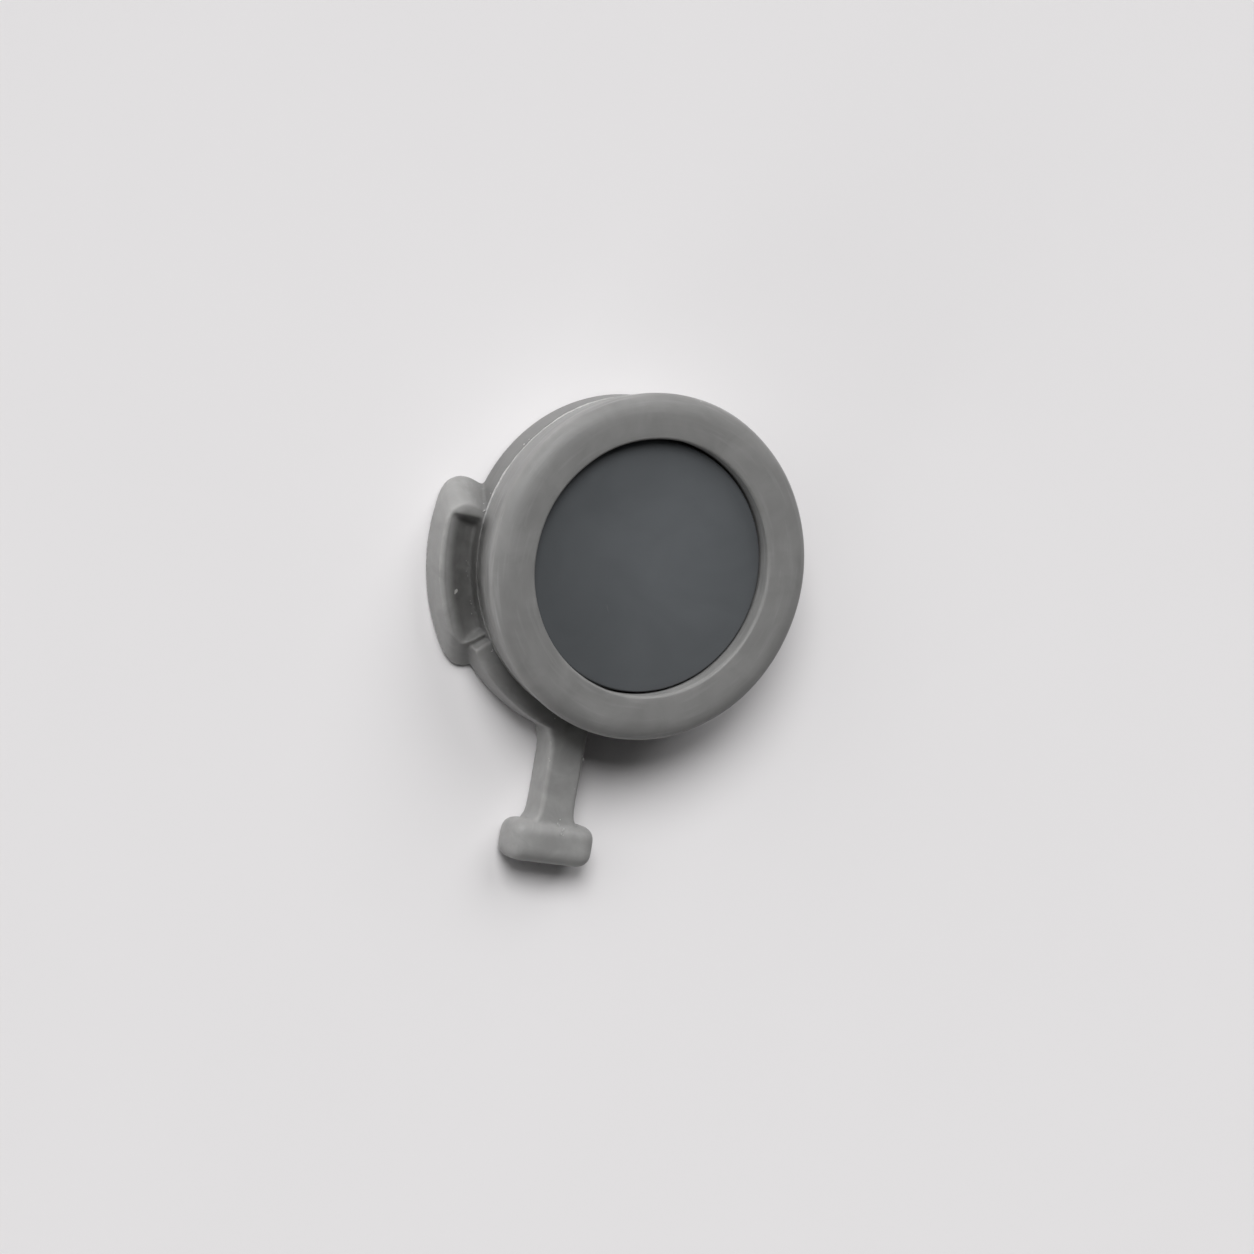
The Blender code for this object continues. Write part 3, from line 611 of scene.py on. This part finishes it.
# %% Lengths in mm and angles in degrees for the rear moulding
ARM_ROOT = 13.2
LOW, HIGH = 0.06, 3.34
LUG_REACH = 17.5
LUG_BACK = (170.1, 232.4)
LUG_FRONT = (178.6, 221.0)
LUG_CORNER = 2.3
LUG_TOP = 3.02
LUG_HEEL = 0.5
SCOOP_RIM = [(13.6, 3.8), (17.1, 3.8), (17.05, 2.95)]
SCOOP_SLOPE = [(16.4, 2.6), (15.8, 2.28), (15.1, 2.06), (13.6, 1.95)]
SCOOP_TOP = (180.3, 224.0)
SCOOP_FLOOR = (184.6, 221.0)
FLANGE_REACH = 15.9
FLANGE_BACK = (220.5, 268.0)
FLANGE_FRONT = (225.5, 268.0)
FLANGE_SECTION = [(ARM_ROOT, LOW), (FLANGE_REACH, LOW), (FLANGE_REACH, HIGH), (ARM_ROOT, HIGH)]
STRAP_START = Vector((0.15, -15.9, 0.0)) * MM
STRAP_ANGLE = math.radians(-81.0)
STRAP_WIDTH = 3.3
STRAP_LEVELS = (0.12, 3.22)
STRAP_FROM = -2.6
FLARE = 0.45
FLARE_LAG = 1.7
TOGGLE_AT = 9.4
TOGGLE_SIZE = (3.6, 8.0, 3.8)
TOGGLE_CORNER = 1.2
ARM_STEPS = 40
print("the lug's reach and the strap's free length in mm:", LUG_REACH, TOGGLE_AT - TOGGLE_SIZE[0] / 2)

# %% The arcs of the lug and the flange
def arm(corners, low_span, high_span, steps):
    """A thick arc from its section in mm. Its ends slope between two pairs of angles, in degrees."""
    low, high = min(corner[1] for corner in corners), max(corner[1] for corner in corners)
    bm = bmesh.new()
    turn = Matrix.Rotation(math.radians(low_span[0]), 3, "Z")
    face = bm.faces.new([bm.verts.new(turn @ Vector((r * MM, 0.0, h * MM))) for r, h in corners])
    swept = math.radians(low_span[1] - low_span[0])
    bmesh.ops.spin(bm, geom=[face], axis=(0, 0, 1), cent=(0, 0, 0), angle=swept, steps=steps)
    for vert in bm.verts:
        angle = math.degrees(math.atan2(vert.co.y, vert.co.x)) % 360.0
        share = (angle - low_span[0]) / (low_span[1] - low_span[0])
        rise = (vert.co.z / MM - low) / (high - low)
        start, end = (near + (far - near) * rise for near, far in zip(low_span, high_span))
        vert.co = Matrix.Rotation(math.radians(start + (end - start) * share - angle), 3, "Z") @ vert.co
    bmesh.ops.recalc_face_normals(bm, faces=bm.faces)
    return bm


def carved(shape, tool, operation="DIFFERENCE"):
    """Cuts one closed shape out of another, or fuses the two with UNION."""
    whole, cutter = add_object("whole", shape), add_object("cutter", tool)
    cut = whole.modifiers.new("cut", "BOOLEAN")
    cut.object = cutter
    cut.solver = "MANIFOLD"
    cut.operation = operation
    settle(whole)
    bm = bmesh.new()
    bm.from_mesh(whole.data)
    for thing in (whole, cutter):
        bpy.data.objects.remove(thing)
    return bm


def lug_shape():
    """The finger lug, scooped out in front for a fingertip.

    It starts as a finely divided cube, whose three directions become the angle, the radius and the height.
    Near the outer radius both ends step back along a quarter circle, which rounds the outer corners.
    """
    bm = bmesh.new()
    bmesh.ops.create_cube(bm, size=1.0)
    bmesh.ops.subdivide_edges(bm, edges=bm.edges, cuts=25, use_grid_fill=True)
    for vert in bm.verts:
        along, out, up = (share + 0.5 for share in vert.co)
        radius = ARM_ROOT + (LUG_REACH - ARM_ROOT) * out
        height = LOW + (HIGH + (LUG_TOP - HIGH) * out - LOW) * up
        slope = max(0.0, height - LUG_HEEL) / (HIGH - LUG_HEEL)
        start, end = (near + (far - near) * slope for near, far in zip(LUG_BACK, LUG_FRONT))
        over = max(0.0, radius - (LUG_REACH - LUG_CORNER))
        back = math.degrees((LUG_CORNER - math.sqrt(max(0.0, LUG_CORNER**2 - over**2))) / radius)
        angle = math.radians(start + back + (end - start - 2 * back) * along)
        vert.co = Vector((radius * math.cos(angle), radius * math.sin(angle), height)) * MM
    bmesh.ops.recalc_face_normals(bm, faces=bm.faces)
    return carved(bm, arm(SCOOP_RIM + SCOOP_SLOPE, SCOOP_FLOOR, SCOOP_TOP, ARM_STEPS))


lug = lug_shape()
flange = arm(FLANGE_SECTION, FLANGE_BACK, FLANGE_FRONT, ARM_STEPS)
print("faces of the lug and the flange:", len(lug.faces), len(flange.faces))


# %% The strap, the toggle and the rear ring
def strap_place(along, level):
    """The matrix of a point on the strap's middle line, in mm: X runs along the strap and Z is up."""
    turn = Matrix.Rotation(STRAP_ANGLE, 4, "Z")
    return Matrix.Translation(STRAP_START) @ turn @ Matrix.Translation((along * MM, 0.0, level * MM))


def block(place, size, rounding, steps):
    """A rounded block at a place, with its sides in mm."""
    bm = bmesh.new()
    scale = Matrix.Diagonal((*(side * MM for side in size), 1.0))
    bmesh.ops.create_cube(bm, size=1.0, matrix=place @ scale)
    return round_edges(bm, rounding, steps)


def strap_shape():
    """The strap. Both its ends flare softly into what they join, the left side further out than the right."""
    length = TOGGLE_AT - STRAP_FROM
    bm = block(Matrix(), (length, STRAP_WIDTH, STRAP_LEVELS[1] - STRAP_LEVELS[0]), 0.3, 3)
    long_edges = [edge for edge in bm.edges if edge.calc_length() > length / 2 * MM]
    bmesh.ops.subdivide_edges(bm, edges=long_edges, cuts=70)
    for vert in bm.verts:
        along = vert.co.x / MM + length / 2 + STRAP_FROM
        root = along if vert.co.y < 0 else along + FLARE_LAG
        tip = TOGGLE_AT - TOGGLE_SIZE[0] / 2 - along
        flare = FLARE * (math.exp(-max(0.0, root) / FLARE) + math.exp(-max(0.0, tip) / FLARE))
        vert.co.y += math.copysign(flare * MM, vert.co.y)
    middle = strap_place(STRAP_FROM + length / 2, sum(STRAP_LEVELS) / 2)
    bmesh.ops.transform(bm, matrix=middle, verts=bm.verts)
    return bm


rear_ring = spun([
    (13.0, SPLIT), (SPLIT_RADIUS, SPLIT), (14.0, 0.3), (13.7, 0.0), (11.6, 0.0), (11.6, 2.95), (13.0, 2.95),
])
toggle = block(strap_place(TOGGLE_AT, TOGGLE_SIZE[2] / 2), TOGGLE_SIZE, TOGGLE_CORNER, 6)
moulding_shapes = [rear_ring, lug, flange, strap_shape(), toggle]
print("shapes in the rear moulding:", len(moulding_shapes))

# %% [markdown]
# The five shapes go into one mesh, and `settle` applies the modifiers, so that its mesh is final.

# %% Join, remesh and smooth the rear moulding
VOXEL = 0.14


def join(shapes):
    """Puts several bmeshes into one."""
    whole = bmesh.new()
    for shape in shapes:
        held = bpy.data.meshes.new("held")
        shape.to_mesh(held)
        shape.free()
        whole.from_mesh(held)
        bpy.data.meshes.remove(held)
    return whole


rear_moulding = add_object("rear_moulding", join(moulding_shapes))
remesh = rear_moulding.modifiers.new("one skin", "REMESH")
remesh.mode = "VOXEL"
remesh.voxel_size = VOXEL * MM
soften = rear_moulding.modifiers.new("soft edges", "SMOOTH")
soften.factor = 0.5
soften.iterations = 6
settle(rear_moulding)
finish(rear_moulding, None, "grey_silicone", BODY_SILICONE, "tether_collar", "tether_strap", "tether_toggle")
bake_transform(rear_moulding)

# %% [markdown]
# ## Flash and crumbs
# Silicone creeps into the joint of its mould and leaves a paper-thin fin, called flash, which is trimmed
# but never quite even. It is a spun sliver whose outer edge is moved in and out by noise. Where the trimming
# tore it, small crumbs are left: squashed little balls along the lug's crease and at the strap's root. Fin
# and crumbs are a pale grey, partly the thin silicone's own colour and partly painted highlight, for the
# light their thin edges catch.

# %% The fin of flash along the joint
FIN_ROOT = 14.0
FIN_REACH = 14.31
FIN_STEPS = 420
bm = spun([(FIN_ROOT, 3.42), (FIN_REACH, 3.445), (FIN_REACH, 3.46), (FIN_ROOT, 3.48)], FIN_STEPS)
for vert in bm.verts:
    if vert.co.xy.length > (FIN_ROOT + FIN_REACH) / 2 * MM:
        ragged = noise.noise(vert.co / (0.9 * MM)) * 0.05 + noise.noise(vert.co / (6.0 * MM)) * 0.09
        vert.co.xy *= 1.0 + ragged * MM / vert.co.xy.length
        vert.co.z += noise.noise(vert.co / (2.0 * MM) + Vector((9, 0, 0))) * 0.01 * MM
finish(add_object("parting_flash", bm), "housing", "grey_silicone", FLASH_SILICONE)

# %% Crumbs of torn flash
# A spot on the ring is an angle, a radius, a height and a number of crumbs. A spot on the strap has its place
# along and beside the middle line instead.
random.seed(46)
CRUMB_SPOTS = [
    (176.0, 14.55, 3.42, 5), (200.0, 14.5, 2.3, 6), (214.0, 14.6, 2.3, 5), (228.0, 14.6, 3.42, 3),
    (262.0, 14.75, 3.42, 6), (150.0, 14.32, 3.46, 2),
]
STRAP_CRUMBS = [
    (0.9, -1.62, 3.1, 3), (2.2, -1.6, 3.12, 2), (1.6, 1.5, 3.16, 3), (4.4, 1.3, 3.2, 1), (7.5, 0.2, 3.3, 5),
    (8.2, 0.5, 3.78, 4), (11.15, 0.4, 0.9, 3), (11.1, -1.9, 0.8, 2),
]
places = []
for angle, radius, level, count in CRUMB_SPOTS:
    for _ in range(count):
        turn = angle + random.uniform(-4.0, 4.0)
        spot = Vector((radius + random.uniform(-0.15, 0.2), 0.0, level + random.uniform(-0.03, 0.03))) * MM
        places.append(Matrix.Rotation(math.radians(turn), 4, "Z") @ Matrix.Translation(spot))
for along, aside, level, count in STRAP_CRUMBS:
    for _ in range(count):
        spot = Vector((random.uniform(-0.3, 0.3), aside + random.uniform(-0.12, 0.12), 0.0)) * MM
        place = strap_place(along, level) @ Matrix.Translation(spot)
        places.append(place @ Matrix.Rotation(math.pi / 2, 4, "Z"))
bm = bmesh.new()
for place in places:
    squash = (random.uniform(0.6, 1.2), random.uniform(0.8, 2.4), random.uniform(0.4, 0.8), 1.0)
    shape = place @ Matrix.Diagonal(squash)
    bmesh.ops.create_icosphere(bm, subdivisions=1, radius=random.uniform(0.03, 0.065) * MM, matrix=shape)
flash_crumbs = finish(add_object("flash_crumbs", bm), None, "grey_silicone", FLASH_SILICONE)
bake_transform(flash_crumbs)

# %% [markdown]
# ## The press disc
# A plain flat disc sits in the window, a little below the ring's face, with a narrow gap round it. Its edge
# is broken, and its face sinks by a few hundredths towards the middle, as moulded plates do when they cool.

# %% The press disc
DISC = 10.9
DISC_TOP = 7.25
SINK = 0.03
DISC_EDGE = 0.16
face_radii = [1.5 * i for i in range(7)] + [10.2]
disc_points = [(r, DISC_TOP - SINK * (1.0 - (r / DISC) ** 2)) for r in face_radii]
disc_points += arc((DISC - DISC_EDGE, DISC_TOP - DISC_EDGE), (DISC_EDGE, DISC_EDGE), 90, 0, 5)
disc_points += [(DISC, 6.6), (DISC - 0.05, 6.55), (0.0, 6.55)]
face_plate = add_object("face_plate", spun(disc_points, closed=False))
finish(face_plate, "hand_vent", "dark_plastic", DISC_PLASTIC, "face_disc")

# %% [markdown]
# ## The core
# A hard nylon tube that both soft rings grip by its flange. Two square grooves in its bore take the wire snap
# rings, and a ledge and a shoulder between them carry the strainer and the seat. It would be injection
# moulded, so every corner gets a small radius.

# %% The core tube
CORE_INNER = 10.45
INSERT = 10.35
GROOVE_BOTTOM = 10.8
STRAINER_RING_LEVEL = 0.42
SEAT_RING_LEVEL = 4.87


def groove(level):
    """A square groove in the core's bore, as (radius, height) points going up."""
    low, high = level - 0.25, level + 0.25
    return [(CORE_INNER, low), (GROOVE_BOTTOM, low), (GROOVE_BOTTOM, high), (CORE_INNER, high)]


outside = [
    (CORE_INNER, 5.35), (11.5, 5.35), (11.5, 3.85), (12.9, 3.85), (12.9, 3.05), (11.5, 3.05), (11.5, 0.0),
]
ledge = [(CORE_INNER, 1.62), (9.0, 1.62), (9.0, 2.22)]
shoulder = [(9.7, 2.22), (9.7, 2.97), (CORE_INNER, 2.97)]
core_points = [*outside, (CORE_INNER, 0.0), *groove(STRAINER_RING_LEVEL), *ledge, *shoulder]
core_points += groove(SEAT_RING_LEVEL)
core = add_object("core_tube", round_edges(spun(core_points), 0.07))
finish(core, "housing", "core_nylon", NYLON, "core_body", even=True)

# %% [markdown]
# ## Pieces that are simply turned
# A table holds one line for each: its name, its outline, how round its edges are, its body, its slot, its
# material and its CAD node. The trap disc has two shallow grooves, which let steam spread over it. The
# carrier has a boss with a blind socket for the stem, and the stem has a groove for the clip.

# %% Trap disc, gasket, carrier, stem and seal
GROOVED_TOP = [
    (9.55, 2.62), (8.0, 2.62), (7.9, 2.54), (7.6, 2.54), (7.5, 2.62),
    (5.4, 2.62), (5.3, 2.54), (5.0, 2.54), (4.9, 2.62), (3.6, 2.62),
]
SEAL_OUTLINE = [(1.03, 2.82), (2.5, 2.82), (2.7, 2.95), (2.7, 3.26), (2.6, 3.32), (2.3, 3.26), (1.03, 3.26)]
CARRIER_OUTLINE = [
    (0.0, 6.45), (10.0, 6.45), (10.0, 5.9), (9.3, 5.9), (9.2, 5.98), (3.4, 5.98), (3.2, 5.9), (2.0, 5.9),
    (2.0, 5.6), (1.1, 5.6), (1.1, 6.25), (0.0, 6.25),
]
STEM_OUTLINE = [
    (0.0, 6.15), (0.88, 6.15), (1.0, 6.03), (1.0, 2.75), (0.7, 2.75), (0.7, 2.49), (1.0, 2.49), (1.0, 2.45),
    (0.95, 2.4), (0.0, 2.4),
]
GASKET_OUTLINE = [(9.7, 3.07), (10.35, 3.07), (10.35, 3.32), (9.7, 3.32)]
LIFT_OUTLINE = [(3.6, 2.32), (9.55, 2.32), *GROOVED_TOP]
TURNED_PIECES = [
    ("lift_disc", LIFT_OUTLINE, 0.04, "trap_valve", "stainless_steel", TURNED_STEEL, "trap_disc"),
    ("shoulder_gasket", GASKET_OUTLINE, 0.09, "housing", "grey_silicone", SEAL_SILICONE, "seat_gasket"),
    ("stem_seal", SEAL_OUTLINE, 0.05, "hand_vent", "grey_silicone", SEAL_SILICONE, "seal_washer"),
    ("carrier_plate", CARRIER_OUTLINE, 0.07, "hand_vent", "core_nylon", NYLON, "disc_carrier"),
    ("stem_rod", STEM_OUTLINE, 0.02, "hand_vent", "stainless_steel", TURNED_STEEL, "valve_stem"),
]
for name, outline, edge, body, slot, material, cad_node in TURNED_PIECES:
    on_axis = outline[0][0] == 0.0
    steps = PIN_STEPS if max(point[0] for point in outline) < 3.0 else RING_STEPS
    bm = round_edges(spun(outline, steps, closed=not on_axis), edge)
    finish(add_object(name, bm), body, slot, material, cad_node, even=True)

# %% [markdown]
# ## Plates with holes
# The strainer and the seat plate are moulded nylon with round holes whose mouths are chamfered, so that no
# flash can hang in the flow. The cutting tool for one hole already has both chamfers: it is a pin that flares
# at its ends, copied round the circles. The strainer's foot has a dimple where the plastic was fed in.

# %% The strainer plate and the ported seat
HOLE_STEPS = 24
CHAMFER = 0.08


def hole_pins(radius, low, high, circles):
    """Pins with flared ends on circles given as (radius, count)."""
    flared = radius + CHAMFER + 0.2
    outline = [(0.0, low - 0.2), (flared, low - 0.2), (radius, low + CHAMFER), (radius, high - CHAMFER),
               (flared, high + 0.2), (0.0, high + 0.2)]
    pins = []
    for circle, count in circles:
        for i in range(count):
            pin = spun(outline, HOLE_STEPS, closed=False)
            turn = Matrix.Rotation(math.tau * i / count, 4, "Z")
            place = turn @ Matrix.Translation((circle * MM, 0.0, 0.0))
            bmesh.ops.transform(pin, matrix=place, verts=pin.verts)
            pins.append(pin)
    return join(pins)


strainer_points = [
    (0.0, 1.27), (INSERT, 1.27), (INSERT, 0.72), (2.65, 0.72), (2.5, 0.6), (2.4, 0.0), (0.7, 0.0),
    (0.5, 0.12), (0.0, 0.12),
]
strainer = round_edges(spun(strainer_points, closed=False), 0.06)
strainer = carved(strainer, hole_pins(0.55, 0.72, 1.27, ((3.9, 8), (6.2, 12), (8.5, 18))))
finish(add_object("strainer_disc", strainer), "housing", "core_nylon", NYLON, "strainer_plate", even=True)

seat_points = [(1.7, 3.42), (INSERT, 3.42), (INSERT, 4.12), (1.7, 4.12)]
seat = carved(round_edges(spun(seat_points), 0.07), hole_pins(0.65, 3.42, 4.12, ((6.4, 8),)))
finish(add_object("ported_seat", seat), "housing", "core_nylon", NYLON, "seat_plate", even=True)

# %% [markdown]
# ## Guide, baffle and clip
# The brass bush stands on three short arms. The baffle ring carries twelve blunt teeth that knock water out
# of the steam. The clip is a thin spring washer with a mouth, pushed sideways into the stem's groove.

# %% The stem guide, the toothed baffle and the clip
def ring_of_blocks(count, radius, level, size, rounding):
    """Rounded blocks standing in a circle, in mm."""
    blocks = []
    for i in range(count):
        turn = Matrix.Rotation(math.tau * i / count, 4, "Z")
        blocks.append(block(turn @ Matrix.Translation((radius * MM, 0.0, level * MM)), size, rounding, 2))
    return join(blocks)


bush = round_edges(spun([(1.1, 4.22), (2.0, 4.22), (2.0, 4.67), (1.1, 4.67)], PIN_STEPS), 0.05)
bush = carved(bush, ring_of_blocks(3, 2.6, 4.445, (1.9, 0.8, 0.35), 0.06), "UNION")
finish(add_object("guide_bush", bush), "housing", "bush_brass", BRASS, "stem_guide", even=True)

base = round_edges(spun([(8.3, 4.22), (INSERT, 4.22), (INSERT, 4.57), (8.3, 4.57)]), 0.06)
baffle = carved(base, ring_of_blocks(12, 9.0, 4.77, (0.7, 2.2, 0.6), 0.12), "UNION")
finish(add_object("toothed_baffle", baffle), "housing", "core_nylon", NYLON, "baffle_ring", even=True)

clip = round_edges(spun([(0.73, 2.52), (1.9, 2.52), (1.9, 2.72), (0.73, 2.72)], PIN_STEPS), 0.03)
clip = carved(clip, block(Matrix.Translation((1.9 * MM, 0.0, 2.62 * MM)), (3.8, 1.1, 1.0), 0.1, 2))
finish(add_object("spring_clip", clip), "hand_vent", "stainless_steel", SHEET_STEEL, "stem_clip", even=True)

# %% [markdown]
# ## Wire pieces
# The snap rings, the spring and the strainer's mesh are all round wire, drawn as lines of points and given a
# thickness. The spring is a cone whose end turns lie flat. It rides on the housing. The mesh is a plain
# weave:
# each wire passes over one crossing wire and under the next, and the wires across it do the opposite. `wires`
# turns the lines into a mesh straight away.

# %% The two snap rings
def wires(name, lines, radius, roundness):
    """A mesh object of round wire along lines of points, in mm."""
    curve = bpy.data.curves.new(name, "CURVE")
    curve.dimensions = "3D"
    curve.bevel_depth = radius * MM
    curve.bevel_resolution = roundness
    curve.use_fill_caps = True
    for line in lines:
        spline = curve.splines.new("POLY")
        spline.points.add(len(line) - 1)
        for slot, point in zip(spline.points, line):
            slot.co = (*(Vector(point) * MM), 1.0)
    held = bpy.data.objects.new(name, curve)
    SCENE.collection.objects.link(held)
    bpy.context.view_layer.update()
    mesh = bpy.data.meshes.new_from_object(held.evaluated_get(bpy.context.evaluated_depsgraph_get()))
    bpy.data.objects.remove(held)
    bm = bmesh.new()
    bm.from_mesh(mesh)
    bmesh.ops.remove_doubles(bm, verts=bm.verts, dist=TINY)
    bmesh.ops.recalc_face_normals(bm, faces=bm.faces)
    return add_object(name, bm)


def on_circle(radius, angle, level):
    """A point in mm at a radius, an angle in radians and a height."""
    return (radius * math.cos(angle), radius * math.sin(angle), level)


WIRE = 0.2
OPENING = math.radians(34.0)
RING_POINTS = 140
turns = [OPENING / 2 + (math.tau - OPENING) * i / RING_POINTS for i in range(RING_POINTS + 1)]
for name, level, cad_node in (
    ("strainer_snap_ring", STRAINER_RING_LEVEL, "strainer_ring"),
    ("seat_snap_ring", SEAT_RING_LEVEL, "retaining_ring"),
):
    snap = wires(name, [[on_circle(CORE_INNER, turn, level) for turn in turns]], WIRE, 6)
    finish(snap, "housing", "stainless_steel", WIRE_STEEL, cad_node)

# %% The return spring
SPRING_SPAN = (4.42, 5.6)
SPRING_RADII = (4.3, 2.7)
SPRING_TURNS = 2.75
SPRING_POINTS = 168
FLAT_SHARE = 0.15
coil = []
for i in range(SPRING_POINTS + 1):
    share = i / SPRING_POINTS
    climb = max(0.0, min(1.0, (share - FLAT_SHARE) / (1.0 - 2 * FLAT_SHARE)))
    level = SPRING_SPAN[0] + (SPRING_SPAN[1] - SPRING_SPAN[0]) * climb
    radius = SPRING_RADII[0] + (SPRING_RADII[1] - SPRING_RADII[0]) * share
    coil.append(on_circle(radius, math.tau * SPRING_TURNS * share, level))
spring = wires("cone_spring", [coil], WIRE, 6)
finish(spring, "housing", "stainless_steel", WIRE_STEEL, "return_spring")
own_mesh(spring)

# %% The woven mesh
PITCH = 0.5
MESH_WIRE = 0.036
WAVE = 0.0372
MESH_LEVEL = 1.445
CUT_RADIUS = 10.25
reach = int(CUT_RADIUS / PITCH)
weave = []
for i in range(-reach, reach + 1):
    half = int(math.sqrt(CUT_RADIUS**2 - (i * PITCH) ** 2) / PITCH)
    if half:
        spots = [(j, WAVE if (i + j) % 2 else -WAVE) for j in range(-half, half + 1)]
        weave.append([(j * PITCH, i * PITCH, MESH_LEVEL + lift) for j, lift in spots])
        weave.append([(i * PITCH, j * PITCH, MESH_LEVEL - lift) for j, lift in spots])
gauze = wires("woven_gauze", weave, MESH_WIRE, 1)
finish(gauze, "housing", "stainless_steel", WIRE_STEEL, "strainer_mesh", sharp=math.radians(80.0))
print("wires in the weave:", len(weave))
